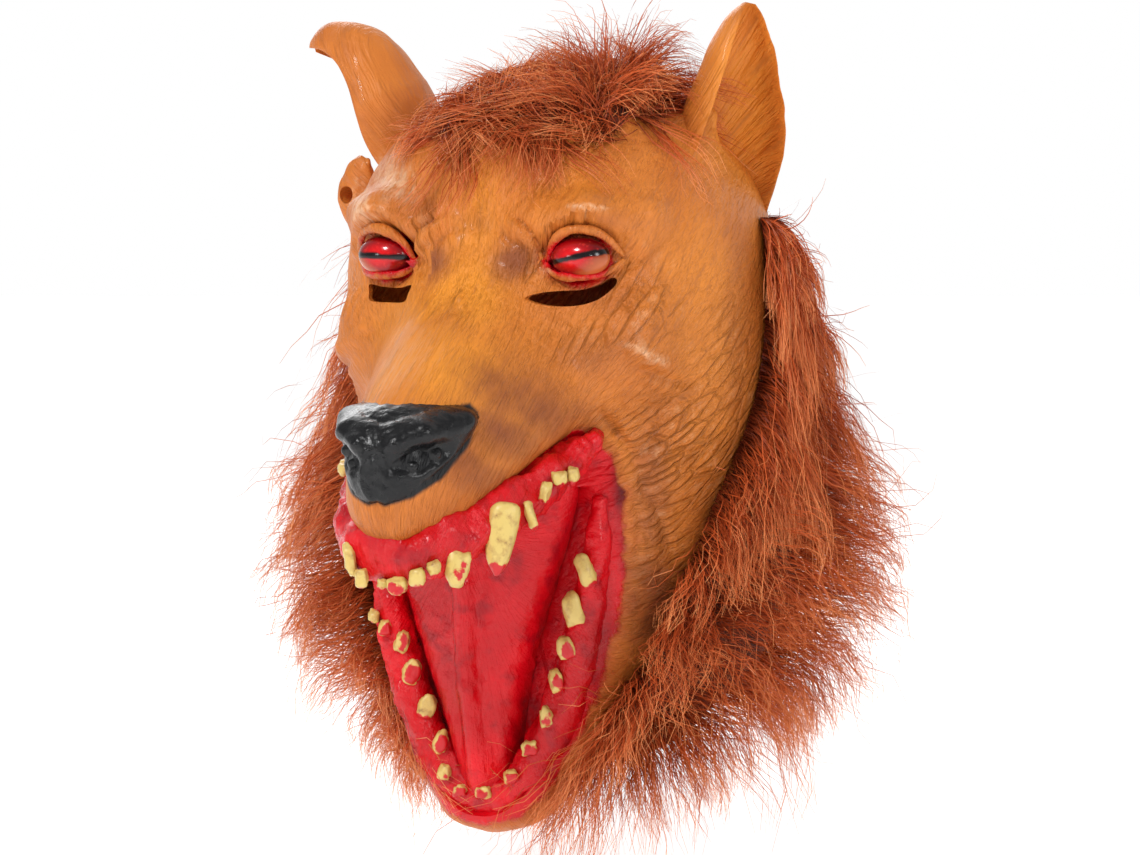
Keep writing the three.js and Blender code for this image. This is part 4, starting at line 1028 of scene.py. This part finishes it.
# The eyelids, thick folds cast with the face. They stand proud of the sockets and lap over the rims of the
# eyes, and their inner edges are touched with red.
for side_name, side in (("right", 1), ("left", -1)):
    for lid_name, stops in (("upper_lid_", UPPER_LID), ("lower_lid_", LOWER_LID)):
        stops = [(side * x, y, z, r) for (x, y, z), r in stops]
        lid, lid_places = make_roll(lid_name + side_name, stops, 28, 96, 0.3, 27)
        red = np.clip(1.6 - ball(to_right(lid_places), EYE, EYE_RADII), -DEEP_IN_PAINT, DEEP_IN_PAINT)
        # The lids' height pales their paint: a painted highlight on the folds
        paint_rubber(lid, red=red, height=np.full(len(red), 0.6))
        set_finish(lid, rubber, "latex_mask")

# The tongue, broad, glossy, red and cast with the jaw. It narrows to its tip at the chin, with a ridge down
# its middle and a pebbled surface towards its root.
TONGUE_SECTIONS = [
    (-0.937, 0.18, -0.93, -0.6, 2, 0), (-0.913, 0.33, -0.98, -0.6, 2.2, 0),
    (-0.853, 0.46, -1, -0.6, 2.2, 0), (-0.734, 0.68, -1.03, -0.6, 2.2, 0),
    (-0.595, 1, -1.07, -0.6, 2.2, 0), (-0.484, 1.28, -1.09, -0.6, 2.2, 0),
    (-0.4, 1.42, -1.08, -0.6, 2.2, 0), (-0.33, 1.45, -1.04, -0.6, 2.2, 0),
]
HALF_TONGUE = 33
TONGUE_LEFT = 5
TONGUE_ROWS = level_rows(TONGUE_SECTIONS, HALF_TONGUE)
TONGUE_RIDGE = [((3, -90, -100), 3.5), ((3, -91.5, -140), 4), ((2, -88, -185), 3.5), ((1, -81, -228), 2.5)]
TONGUE_CENTRE = np.array([0, -70, -165])
TONGUE_BACK = -62.5


def tongue_form(places):
    x, y, z = places.T
    form = section_body(TONGUE_ROWS, z, x, y)
    return smooth_join(form, chain(places, TONGUE_RIDGE, 3), 7)


tongue = new_globe("tongue", 112, 96)
tongue_ways = get_ways(tongue)
tongue_reach = cast(tongue_ways, tongue_form, 2, 2, 120, TONGUE_CENTRE)
tongue_places = TONGUE_CENTRE + tongue_ways * tongue_reach[:, None]
root_share = np.clip((tongue_places[:, 2] + 200) / 90, 0, 1)
pebbles = 0.5 * waves(tongue_places, 11, 31) + 0.35 * root_share * waves(tongue_places, 3.2, 33)
tongue_places += tongue_ways * pebbles[:, None]
tongue_places[:, 1] = np.minimum(tongue_places[:, 1], TONGUE_BACK)
tongue_places[:, 0] -= TONGUE_LEFT * np.clip((tongue_places[:, 2] + 235) / 60, 0, 1)
set_places(tongue, in_frame(tongue_places))
normals_out(tongue)
paint_all_red(tongue)

# The teeth, blunt pegs cast with the gums and dabbed with cream enamel that misses an edge here and there.
# Each stands where the photograph shows it: middle, width and height in pixels, lean and share left red.
UPPER_TEETH = [
    ((350, 560), 11, 34, -12, 0), ((362, 590), 13, 20, 0, 0.1), ((381, 596), 10, 9, 0, 0.2),
    ((397, 586), 20, 17, 0, 0.45), ((417, 577), 17, 20, -8, 0.15), ((434, 568), 15, 14, -12, 0.1),
    ((458, 572), 24, 38, 8, 0.3), ((501, 538), 28, 76, 8, 0.22), ((531, 516), 10, 30, -18, 0.1),
    ((545, 492), 10, 22, 18, 0.1), ((559, 478), 16, 14, -10, 0), ((573, 476), 11, 18, 0, 0.2),
]
LOWER_TEETH = [
    ((585, 570), 17, 36, -20, 0.15), ((573, 609), 20, 36, -12, 0.15), ((566, 648), 17, 24, -10, 0.35),
    ((556, 681), 14, 24, -12, 0.5), ((546, 716), 12, 22, -10, 0.3), ((530, 748), 16, 16, 0, 0.55),
    ((511, 777), 15, 14, 0, 0.5), ((483, 792), 17, 13, 0, 0.35), ((460, 790), 13, 12, 0, 0.4),
    ((444, 772), 13, 16, 10, 0.3), ((441, 742), 14, 22, 15, 0.4), ((427, 707), 17, 26, 18, 0.2),
    ((412, 672), 17, 26, 15, 0.4), ((402, 642), 15, 22, 12, 0.3), ((374, 616), 12, 13, 0, 0.1),
    ((385, 628), 13, 16, 0, 0.4),
]


def through_pixel(spot, depth):
    u = (spot[0] - PHOTO_SIZE[0] / 2) / LENS_PIXELS
    v = (PHOTO_SIZE[1] / 2 - spot[1]) / LENS_PIXELS
    return EYE_POINT + depth * (VIEW_AHEAD + u * VIEW_SIDE + v * VIEW_UP)


def make_tooth(name, spot, wide, high, lean, painted, roll_places, taper, side=1):
    """A tooth on the gum behind its spot, or on the nearest gum where there is none behind it."""
    seen = photo_places(roll_places)
    gaps = np.linalg.norm(seen - spot, axis=1)
    if gaps.min() > 3:
        spot = seen[gaps.argmin()]
    near = gaps < gaps.min() + 8
    depth = ((roll_places[near] - EYE_POINT) @ VIEW_AHEAD).min() + 1.2
    middle = through_pixel(spot, depth)
    scale = depth / LENS_PIXELS
    tooth = new_globe(name, 20, 14)
    unit = get_places(tooth)
    square = np.sign(unit) * np.abs(unit) ** 0.7
    local = square * [wide * scale / 2, 4.2, high * scale / 2]
    local[:, 0] *= 1 - taper * unit[:, 2]
    local += 0.7 * unit * waves(unit * 6, 6, int(wide * 10 + high))[:, None]
    a = math.radians(lean)
    across = VIEW_SIDE * math.cos(a) - VIEW_UP * math.sin(a)
    above = VIEW_SIDE * math.sin(a) + VIEW_UP * math.cos(a)
    places = middle + local[:, :1] * across + local[:, 1:2] * VIEW_AHEAD + local[:, 2:] * above
    set_places(tooth, in_frame(places * [side, 1, 1]))
    normals_out(tooth)
    bare = (painted * 2 - 1 - unit[:, 2]) * high * scale / 2
    middle_dab = (painted - np.hypot(unit[:, 0] - 0.2, unit[:, 2] + 0.25)) * wide * scale / 2
    write_values(tooth, "red", np.maximum(bare if painted < 0.3 else middle_dab + 0.9, -4))
    return tooth


SHORT_TAPER = 0.16
LONG_TAPER = 0.5
LONG_TOOTH = 60
# Upper teeth right of this pixel are mirrored to the left jaw, which the snout hides
FIRST_HIDDEN = 550
teeth = []
for jaw, table, roll_places in (("upper", UPPER_TEETH, upper_places), ("lower", LOWER_TEETH, lower_places)):
    for i, row in enumerate(table):
        spot, _, high, _, _ = row
        taper = -SHORT_TAPER if jaw == "upper" else SHORT_TAPER
        taper = -LONG_TAPER if high > LONG_TOOTH else taper
        teeth.append(make_tooth(f"{jaw}_tooth_{i}", *row, roll_places, taper))
        if jaw == "upper" and spot[0] > FIRST_HIDDEN:
            teeth.append(make_tooth(f"left_tooth_{i}", *row, roll_places, taper, -1))
join_pieces(teeth)
teeth[0].name = "teeth"
enamel = Finish("cream_enamel")
enamel_dirt = enamel.noise(260, 3, rough=0.6)
enamel_patch = enamel.noise(120, 2)
cream = enamel.mix(enamel_dirt.step(0.45, 0.7), colour(212, 184, 104), colour(186, 150, 82))
cream = enamel.mix(enamel_dirt.step(0.66, 0.72) * 0.6, cream, colour(120, 80, 50))
enamel_red = (enamel.value("red") + enamel_patch * 7 + enamel_dirt * 4 - 5.5).step(-0.3, 0.4)
cream = enamel.mix(enamel_red, cream, colour(196, 14, 24))
enamel.finish(Base_Color=cream, Roughness=0.3 + enamel_dirt * 0.15, Coat_Weight=0.1, Coat_Roughness=0.12,
              Normal=bump(enamel, enamel_dirt + enamel_patch, 0.5, 0.0006))
set_finish(teeth[0], enamel.material, "latex_mask")

# The eyes, glossy domes of red plastic set in the sockets from behind, each with a black bar painted across
# it. The red paint thins to brown at their outer sides.
for eye_name, side in (("eye_right", 1), ("eye_left", -1)):
    eye = new_globe(eye_name + "_dome", 72, 48)
    unit = get_places(eye)
    eye_places = EYE * [side, 1, 1] + unit * (EYE_RADII - 0.1) + [0, 0.8, 0]
    set_places(eye, in_frame(eye_places))
    normals_out(eye)
    tilt = 0.3 if side > 0 else -0.06
    bar = np.abs(unit[:, 2] - tilt * unit[:, 0] + 0.02) * EYE_RADII[2]
    write_values(eye, "bar", bar)
    write_values(eye, "rim", np.hypot(unit[:, 0], unit[:, 2]))
    write_values(eye, "bare", np.clip(side * unit[:, 0] * 1.4 - unit[:, 2] * 1.2 - 0.75, 0, 1))
    dome = Finish(eye_name + "_gloss")
    specks = dome.noise(520, 3)
    smear = dome.noise(160, 2)
    # Darker towards the dome's rim: painted shade where it turns into the socket
    glow = dome.mix(dome.value("rim").step(0.2, 0.95), colour(206, 6, 16), colour(96, 2, 8))
    glow = dome.mix(specks.step(0.55, 0.7) * 0.35, glow, colour(226, 50, 40))
    glow = dome.mix(dome.value("bare") * 1.2, glow, colour(190, 96, 50))
    band = 1 - (dome.value("bar") + smear * 1.8 - 0.9).step(0.7, 1.9)
    dome.finish(Base_Color=dome.mix(band, glow, colour(14, 6, 8)), Roughness=0.12 + specks * 0.1,
                Specular_IOR_Level=0.35, Coat_Weight=0.15, Coat_Roughness=0.04)
    set_finish(eye, dome.material, eye_name)

# The mane, long fake fur glued round the sides and the back of the rubber from the ears down to the neck's
# rim. It is auburn, wavy and tangled: a dark woven backing with its short pile, whose darkness is partly
# painted shade deep in the fur, and long strands in locks, with painted shade at their roots.
MANE_TOP = 0.24 * CROWN_HEIGHT
NAPE_RISE = 58
NECK_DROP = 228
MANE_DEPTH = 56
MANE_FALL = 20
# level in millimetres, and the degrees from the front at which the fur starts on each side
MANE_START = [
    (-0.86 * CHIN_DROP, 37), (-0.76 * CHIN_DROP, 46), (-0.6 * CHIN_DROP, 60), (-0.43 * CHIN_DROP, 74),
    (-0.25 * CHIN_DROP, 92), (0, 96), (MANE_TOP, 98),
]
# share of the way down, then how far the fur stands out and hangs down on the right and on the left
MANE_ROWS = [
    (0, 0.08, 0, 0.08, 0), (0.14, 0.2, 0.1, 0.35, 0.1), (0.3, 0.45, 0.25, 0.8, 0.2),
    (0.46, 0.75, 0.35, 1.12, 0.25), (0.62, 1.02, 0.45, 1.2, 0.25), (0.78, 1.12, 0.5, 1.08, 0.2),
    (0.9, 0.8, 0.7, 0.55, 0.1), (1, 0.3, 1, 0.2, 0.05),
]
GRID_DOWN = 56
GRID_TURN = 132
STRAND_STOPS = 8
STRANDS_PER_CLUMP = 34
STRAND_WIDTHS = (0.34, 0.6)
FABRIC_ROOM = 11
s = np.linspace(0, 1, STRAND_STOPS)


def unit_rows(vectors):
    return vectors / np.maximum(np.linalg.norm(vectors, axis=1), 1e-9)[:, None]


def mane_places(down, turn):
    """Places on the rubber at shares of the way down and round, and the way out from each."""
    level = np.full(len(down), float(MANE_TOP))
    for _ in range(5):
        start = curve_through(MANE_START, level)[:, 0]
        angle = np.radians(start + (360 - 2 * start) * turn)
        out = np.stack([np.sin(angle), -np.cos(angle), np.zeros(len(angle))], 1)
        centre = np.stack([np.zeros(len(level)), np.full(len(level), SEAT[1]), level], 1)
        at = centre + out * cast(out, plain_form, 20, 5, 190, centre)[:, None]
        rim = at[:, 1] / NAPE_REACH * NAPE_RISE * 0.78 + 0.2 * NAPE_RISE - NECK_DROP
        level = MANE_TOP + (rim + 6 - MANE_TOP) * down
    at[:, 2] = level
    return at, out


def mane_reach(down, turn):
    """How far the fur stands out and hangs down there."""
    shape = curve_through(MANE_ROWS, down)
    leftness = np.clip((turn - 0.4) / 0.2, 0, 1)
    stand = shape[:, 0] + (shape[:, 2] - shape[:, 0]) * leftness
    hang = shape[:, 1] + (shape[:, 3] - shape[:, 1]) * leftness
    side = 0.3 + 0.7 * np.minimum(np.minimum(turn, 1 - turn) / 0.12, 1) ** 0.7
    nape = 1 - 0.35 * np.maximum(0, -np.cos(2 * math.pi * turn))
    return stand * MANE_DEPTH * side * nape, hang * MANE_FALL


class Ground:
    """The rubber under a stretch of fur, on a grid of shares that strands are rooted in."""

    def __init__(self, rows, columns, place, reach):
        self.rows = rows
        self.columns = columns
        first, second = [g.ravel() for g in np.meshgrid(np.linspace(0, 1, rows), np.linspace(0, 1, columns),
                                                        indexing="ij")]
        at, out = place(first, second)
        depth, fall = reach(first, second)
        self.table = np.column_stack([at, out, depth, fall])
        self.shares = np.column_stack([first, second])

    def at(self, first, second):
        row = np.clip(first, 0, 1) * (self.rows - 1)
        column = np.clip(second, 0, 1) * (self.columns - 1)
        i = np.minimum(row.astype(int), self.rows - 2)
        j = np.minimum(column.astype(int), self.columns - 2)
        u = (row - i)[:, None]
        v = (column - j)[:, None]
        corner = i * self.columns + j
        near = self.table[corner] * (1 - v) + self.table[corner + 1] * v
        far = self.table[corner + self.columns] * (1 - v) + self.table[corner + self.columns + 1] * v
        found = near * (1 - u) + far * u
        return found[:, :3], unit_rows(found[:, 3:6]), found[:, 6], found[:, 7]


def make_pile(name, ground, share, inset, seed):
    """The backing and its short pile, a sheet that stands a share of the fur's depth off the rubber."""
    bpy.ops.object.select_all(action="DESELECT")
    bpy.ops.mesh.primitive_grid_add(x_subdivisions=ground.columns - 1, y_subdivisions=ground.rows - 1)
    sheet = bpy.context.object
    sheet.name = name
    corners = inset + (get_places(sheet)[:, [1, 0]] + 1) / 2 * (1 - 2 * inset)
    at, out, depth, fall = ground.at(corners[:, 0], corners[:, 1])
    edge = np.min(np.column_stack([corners, 1 - corners]), axis=1) - inset
    lift = share * depth * np.clip(edge / 0.1, 0, 1) ** 0.8
    lift += (0.9 * waves(at, 13, seed) + 0.6 * waves(at, 6, seed + 1)) * np.clip(edge / 0.05, 0, 1) - 0.6
    lift -= 2.2 * (1 - np.clip(edge / 0.05, 0, 1))
    places = at + out * (lift + 1)[:, None]
    places[:, 2] -= share * fall * corners[:, 0]
    set_places(sheet, in_frame(places))
    normals_out(sheet)
    skin_side = sheet.modifiers.new("backing", "SOLIDIFY")
    skin_side.thickness = 0.0012
    skin_side.offset = -1
    bpy.ops.object.modifier_apply(modifier="backing")
    return sheet


def make_strands(name, paths, widths, tones, seed):
    """Flat tapered strands, one ribbon along each path."""
    rng = np.random.default_rng(seed)
    count, stops, _ = paths.shape
    ahead = np.gradient(paths, axis=1)
    ahead /= np.maximum(np.linalg.norm(ahead, axis=2), 1e-9)[:, :, None]
    lean = unit_rows(rng.normal(size=(count, 3)))[:, None, :]
    side = np.cross(ahead, lean)
    side /= np.maximum(np.linalg.norm(side, axis=2), 1e-9)[:, :, None]
    half = widths[:, None] / 2 * (1 - 0.75 * s ** 1.5)[None, :]
    points = np.stack([paths - side * half[:, :, None], paths + side * half[:, :, None]], 2).reshape(-1, 3)
    first = (np.arange(count)[:, None] * stops + np.arange(stops - 1)[None, :]).ravel() * 2
    faces = np.stack([first, first + 1, first + 3, first + 2], 1)
    mesh = bpy.data.meshes.new(name)
    mesh.vertices.add(len(points))
    mesh.vertices.foreach_set("co", in_frame(points).astype(np.float32).ravel())
    mesh.loops.add(faces.size)
    mesh.loops.foreach_set("vertex_index", faces.ravel().astype(np.int32))
    mesh.polygons.add(len(faces))
    mesh.polygons.foreach_set("loop_start", np.arange(len(faces), dtype=np.int32) * 4)
    mesh.polygons.foreach_set("loop_total", np.full(len(faces), 4, np.int32))
    mesh.update(calc_edges=True)
    strands = bpy.data.objects.new(name, mesh)
    bpy.context.collection.objects.link(strands)
    write_values(strands, "along", np.repeat(np.tile(s, count), 2))
    write_values(strands, "tone", np.repeat(tones, stops * 2))
    return strands


def own_size(rng, clump_of, clumps, of_clump, of_strand):
    """A size for each strand: its clump's, with a little of its own."""
    return rng.uniform(*of_clump, clumps)[clump_of] * rng.uniform(*of_strand, len(clump_of))


def curls(rng, clump_of, clumps, lengths, ahead, size):
    """Waves that the strands of one clump share, with a little of each strand's own."""
    pitch = own_size(rng, clump_of, clumps, (26, 46), (0.85, 1.15))
    phase = rng.uniform(0, 6.28, clumps)[clump_of] + rng.normal(0, 0.45, len(clump_of))
    swing = own_size(rng, clump_of, clumps, (0.4, 1.3), (0.6, 1.3)) * size
    aside = unit_rows(np.cross(ahead, unit_rows(rng.normal(size=(clumps, 3)))[clump_of] + 0.2))
    above = np.cross(ahead, aside)
    turn = 2 * math.pi * lengths[:, None] * s[None, :] / pitch[:, None] + phase[:, None]
    start = phase[:, None]
    grow = (swing[:, None] * s[None, :] ** 0.8)[:, :, None]
    return grow * ((np.sin(turn) - np.sin(start))[:, :, None] * aside[:, None, :]
                   + 0.6 * (np.cos(turn) - np.cos(start))[:, :, None] * above[:, None, :])


def drawn_together(paths, clump_of, draw):
    """Draws each strand towards the middle of its clump, most at its tip."""
    middle = paths.reshape(-1, STRANDS_PER_CLUMP, STRAND_STOPS, 3).mean(axis=1)[clump_of]
    return paths + (middle - paths) * (draw[:, None] * (s ** 1.2)[None, :])[:, :, None]


def off_rubber(paths, out):
    """Keeps strands outside the rubber and inside the room that fur may take."""
    flat = paths.reshape(-1, 3)
    inside = np.maximum(1 - plain_form(flat), 0)
    flat = flat + np.repeat(out, paths.shape[1], axis=0) * (inside * (inside < 25))[:, None]
    low, high = [np.array(corner) / MM + SEAT for corner in cad_box]
    flat = np.minimum(np.maximum(flat, low - FABRIC_ROOM), high + FABRIC_ROOM)
    return flat.reshape(paths.shape)


# darkest and palest colour in the middle of a strand, then at its tip
DARK_FUR = [(158, 62, 27), (208, 97, 48), (200, 98, 48), (240, 156, 98)]
# The same fur painted paler for the left side, which the key lamp lights: painted light
LIT_SIDE_FUR = [(184, 84, 42), (222, 122, 70), (222, 126, 72), (244, 172, 118)]


def strand_finish(name, light):
    """Fake fur: dark with painted shade where it leaves the backing, and paler and redder to its tips."""
    fur = Finish(name)
    along = fur.value("along")
    tone = fur.value("tone")
    # Paler steps where the fur is painted as lit
    steps = LIT_SIDE_FUR if light else DARK_FUR
    # Painted shade at the root, where the strand leaves the backing
    root = fur.mix(tone, colour(76, 24, 10), colour(122, 46, 20))
    middle = fur.mix(tone, colour(*steps[0]), colour(*steps[1]))
    tip = fur.mix(tone, colour(*steps[2]), colour(*steps[3]))
    shade = fur.mix(along.step(0.02, 0.45), root, middle)
    shade = fur.mix(along.step(0.5, 1), shade, tip)
    return fur.finish(Base_Color=shade, Roughness=0.42, Specular_IOR_Level=0.18)


def pile_finish(name, dark, pale):
    pile = Finish(name)
    tufts = pile.noise(240, 4, (1, 1, 0.3), 0.7)
    broad = pile.noise(60, 2)
    shade = pile.mix((tufts * 0.7 + broad * 0.5).step(0.4, 0.8), dark, pale)
    return pile.finish(Base_Color=shade, Roughness=0.9, Normal=bump(pile, tufts, 1, 0.003))


mane_ground = Ground(GRID_DOWN, GRID_TURN, mane_places, mane_reach)
mane_pile = make_pile("mane_pile", mane_ground, 0.42, 0.02, 41)
# The pile's dark colours are partly the backing's own and partly painted shade deep in the fur
set_finish(mane_pile, pile_finish("mane_pile", colour(66, 26, 12), colour(124, 56, 28)), "mane_fur")
# name, shares of the way round from the right, whether it takes the fur painted paler as lit, and strands
MANE_PIECES = [("mane_right", 0, 0.33, False, 11000), ("mane_back", 0.33, 0.67, False, 10500),
               ("mane_left", 0.67, 1, True, 12500)]
mane_colours = {False: strand_finish("auburn_fur", False), True: strand_finish("lit_side_auburn_fur", True)}
for number, (name, turn_from, turn_to, light, count) in enumerate(MANE_PIECES):
    rng = np.random.default_rng(50 + number)
    clumps = count // STRANDS_PER_CLUMP
    clump_of = np.repeat(np.arange(clumps), STRANDS_PER_CLUMP)
    clump_down = rng.uniform(0, 1, clumps) ** 0.9
    clump_down[: clumps // 12] *= 0.05
    clump_down[-(clumps // 10):] = 0.93 + 0.06 * clump_down[-(clumps // 10):]
    clump_turn = rng.uniform(turn_from, turn_to, clumps)
    if number != 1:
        rim_clumps = rng.uniform(0, 1, clumps) < 0.2
        clump_turn[rim_clumps] = np.abs((number == 2) - rng.uniform(0, 0.022, rim_clumps.sum()))
    down = np.clip(clump_down[clump_of] + rng.normal(0, 0.022, len(clump_of)), 0.005, 0.995)
    turn = np.clip(clump_turn[clump_of] + rng.normal(0, 0.011, len(clump_of)), 0.004, 0.996)
    at, out, depth, fall = mane_ground.at(down, turn)
    size = own_size(rng, clump_of, clumps, (0.62, 1.12), (0.8, 1.12))
    wild = rng.uniform(0, 1, len(clump_of)) < 0.14
    stand = (depth + 13) * size * np.where(wild, 1.12, 1)
    droop = np.interp(down, (0, 0.35, 0.52, 0.8, 1), (46, 50, 28, 12, 34))
    hang = (fall + droop * rng.uniform(0.4, 1.3, clumps)[clump_of]) * size
    hang += np.where(wild, rng.normal(-6, 14, len(wild)), 0)
    back = np.cross(np.array([0, 0, 1]), out) * np.where(turn < 0.5, 1, -1)[:, None]
    forward = np.where(np.minimum(turn, 1 - turn) < 0.03, 24, 2) * np.clip((down - 0.35) * 4, 0, 1)
    sweep = -forward + rng.normal(0, 11, clumps)[clump_of] + rng.normal(0, 3.5, len(clump_of))
    sweep += np.where(wild, rng.normal(0, 20, len(wild)), 0)
    rise = (1 - (1 - s) ** 1.7)[None, :, None]
    paths = at[:, None, :] + out[:, None, :] * stand[:, None, None] * rise
    paths = paths + back[:, None, :] * (sweep[:, None] * s[None, :])[:, :, None]
    paths[:, :, 2] -= hang[:, None] * (s ** 1.8)[None, :]
    lengths = np.linalg.norm(paths[:, -1] - paths[:, 0], axis=1)
    ahead = unit_rows(paths[:, -1] - paths[:, 0])
    paths = drawn_together(paths, clump_of, np.where(wild, 0, rng.uniform(0.25, 0.8, len(clump_of))))
    curl = 2.6 + 2.6 * np.clip((down - 0.4) * 4, 0, 1)
    paths = off_rubber(paths + curls(rng, clump_of, clumps, lengths, ahead, curl), out)
    widths = rng.uniform(*STRAND_WIDTHS, len(clump_of))
    tones = np.clip(rng.uniform(0, 1, clumps)[clump_of] * 0.8 + rng.normal(0.1, 0.2, len(clump_of)), 0, 1)
    set_finish(make_strands(name, paths, widths, tones, 60 + number), mane_colours[light], "mane_fur")

# The crown's fur, a strip of the same fur glued over the top of the head between the ears. Its strands are
# tangled and fall every way, the front ones over the forehead.
CROWN_FRONT = 33
CROWN_BACK = 148
CROWN_SIDE = 43
CROWN_LEFT_SIDE = 25
TUFT_RISE = 27
HAIRLINE_RISE = 16
CROWN_DEPTH = 12
CROWN_STRANDS = 9000


def crown_places(along, across_share):
    across = 2 * across_share - 1
    front = CROWN_FRONT + HAIRLINE_RISE * across * across
    tilt = np.radians(front + (CROWN_BACK - front) * along)
    lean = np.radians(np.where(across < 0, CROWN_LEFT_SIDE, CROWN_SIDE) * across)
    out = np.stack([np.sin(lean), -np.cos(lean) * np.cos(tilt), np.cos(lean) * np.sin(tilt)], 1)
    return out * cast(out, plain_form, 20, 5, 190, np.zeros(3))[:, None], out


def crown_reach(along, across_share):
    hump = np.maximum(np.sin(math.pi * along) * np.sin(math.pi * across_share), 0) ** 0.35
    return 3 + (CROWN_DEPTH - 3) * hump, 0 * along


crown_ground = Ground(40, 48, crown_places, crown_reach)
crown_pile = make_pile("crown_pile", crown_ground, 0.4, 0.07, 71)
# The pile's dark colours are partly the backing's own and partly painted shade deep in the fur
set_finish(crown_pile, pile_finish("crown_pile", colour(58, 24, 12), colour(116, 52, 28)), "crown_fur")
rng = np.random.default_rng(72)
clumps = CROWN_STRANDS // STRANDS_PER_CLUMP
clump_of = np.repeat(np.arange(clumps), STRANDS_PER_CLUMP)
clump_along = rng.uniform(0, 1, clumps)
clump_across = rng.uniform(0.02, 0.98, clumps)
along = np.clip(clump_along[clump_of] + rng.normal(0, 0.03, len(clump_of)), 0, 1)
across = np.clip(clump_across[clump_of] + rng.normal(0, 0.03, len(clump_of)), 0, 1)
at, out, depth, _ = crown_ground.at(along, across)
lie = rng.normal(0, 0.75, (clumps, 3))[clump_of] + rng.normal(0, 0.25, (len(clump_of), 3))
lie[:, 1] += np.where(along < 0.22, -0.8, 0.5)
lie[:, 0] += np.interp(across, (0, 0.3, 1), (0.7, -0.1, 0.6))
lie[:, 1] += np.interp(across, (0, 0.25), (0.9, 0))
lie[:, 2] += np.interp(across, (0.7, 0.9), (0, 1.3))
lie -= out * np.sum(lie * out, axis=1)[:, None]
reach = own_size(rng, clump_of, clumps, (20, 52), (0.8, 1.15))
reach *= np.interp(across, (0, 0.3), (0.6, 1))
tuft = np.exp(-((across - 0.8) / 0.1) ** 2 - ((along - 0.3) / 0.2) ** 2)
rise = (0.62 * depth + TUFT_RISE * tuft) * rng.uniform(0.4, 1.25, clumps)[clump_of]
paths = at[:, None, :] + out[:, None, :] * (rise[:, None] * np.sin(math.pi * 0.62 * s)[None, :])[:, :, None]
paths = paths + unit_rows(lie)[:, None, :] * (reach[:, None] * (s ** 1.2)[None, :])[:, :, None]
paths = drawn_together(paths, clump_of, rng.uniform(0.1, 0.7, len(clump_of)))
paths = off_rubber(paths + curls(rng, clump_of, clumps, reach, unit_rows(lie), 3), out)
widths = rng.uniform(*STRAND_WIDTHS, len(clump_of))
tones = np.clip(rng.uniform(0, 1, clumps)[clump_of] * 0.7 + rng.normal(0.1, 0.2, len(clump_of)), 0, 1)
set_finish(make_strands("crown_strands", paths, widths, tones, 73), mane_colours[False], "crown_fur")

# The studio: a plain pale floor under the mask, a white room that is dimmer in front, and soft lamps above
# and to both sides. The camera stands where the photograph was taken.
bpy.ops.object.select_all(action="DESELECT")
bpy.ops.mesh.primitive_circle_add(vertices=64, radius=9, fill_type="NGON", location=(0, 0, -0.36))
floor = bpy.context.object
floor.name = "studio_floor"
floor_paint = Finish("pale_floor")
floor.data.materials.append(floor_paint.finish(Base_Color=(0.8, 0.8, 0.8, 1), Emission_Color=(1, 1, 1, 1),
                                               Emission_Strength=0.55, Roughness=0.9))

world = bpy.data.worlds.new("studio_air")
bpy.context.scene.world = world
world.use_nodes = True
backdrop = world.node_tree.nodes["Background"]
backdrop.inputs["Color"].default_value = (1, 1, 1, 1)
sky = world.node_tree.nodes.new("ShaderNodeTexCoord")
parts = world.node_tree.nodes.new("ShaderNodeSeparateXYZ")
fade = world.node_tree.nodes.new("ShaderNodeMapRange")
fade.interpolation_type = "SMOOTHSTEP"
for key, number in (("From Min", 0), ("From Max", 0.7), ("To Min", 0.4), ("To Max", 1)):
    fade.inputs[key].default_value = number
world.node_tree.links.new(sky.outputs["Generated"], parts.inputs["Vector"])
world.node_tree.links.new(parts.outputs["Y"], fade.inputs["Value"])
world.node_tree.links.new(fade.outputs["Result"], backdrop.inputs["Strength"])


def soft_light(name, place, power, size):
    lamp = bpy.data.lights.new(name, "AREA")
    lamp.energy = power
    lamp.size = size
    lit = bpy.data.objects.new(name, lamp)
    bpy.context.collection.objects.link(lit)
    lit.location = place
    lit.rotation_euler = (Vector((0, 0, -0.15)) - Vector(place)).to_track_quat("-Z", "Y").to_euler()


soft_light("key_light", (-0.3, -1.6, 1.2), 21, 0.3)
soft_light("fill_light", (1.7, -0.9, 0.5), 8, 0.5)
soft_light("low_light", (-0.7, -1.3, 0.05), 1.2, 0.05)
soft_light("side_light", (1, -1.3, 0.25), 1, 0.05)
soft_light("rim_light", (-1.2, 1.2, 1), 12, 1)

SENSOR_WIDTH = 36
camera = bpy.data.objects.new("camera", bpy.data.cameras.new("camera"))
bpy.context.collection.objects.link(camera)
camera.location = in_frame(EYE_POINT)
camera.rotation_euler = Vector(VIEW_AHEAD).to_track_quat("-Z", "Y").to_euler()
camera.data.sensor_width = SENSOR_WIDTH
camera.data.lens = LENS_PIXELS / PHOTO_SIZE[0] * SENSOR_WIDTH
bpy.context.scene.camera = camera
bpy.context.scene.view_settings.view_transform = "Standard"
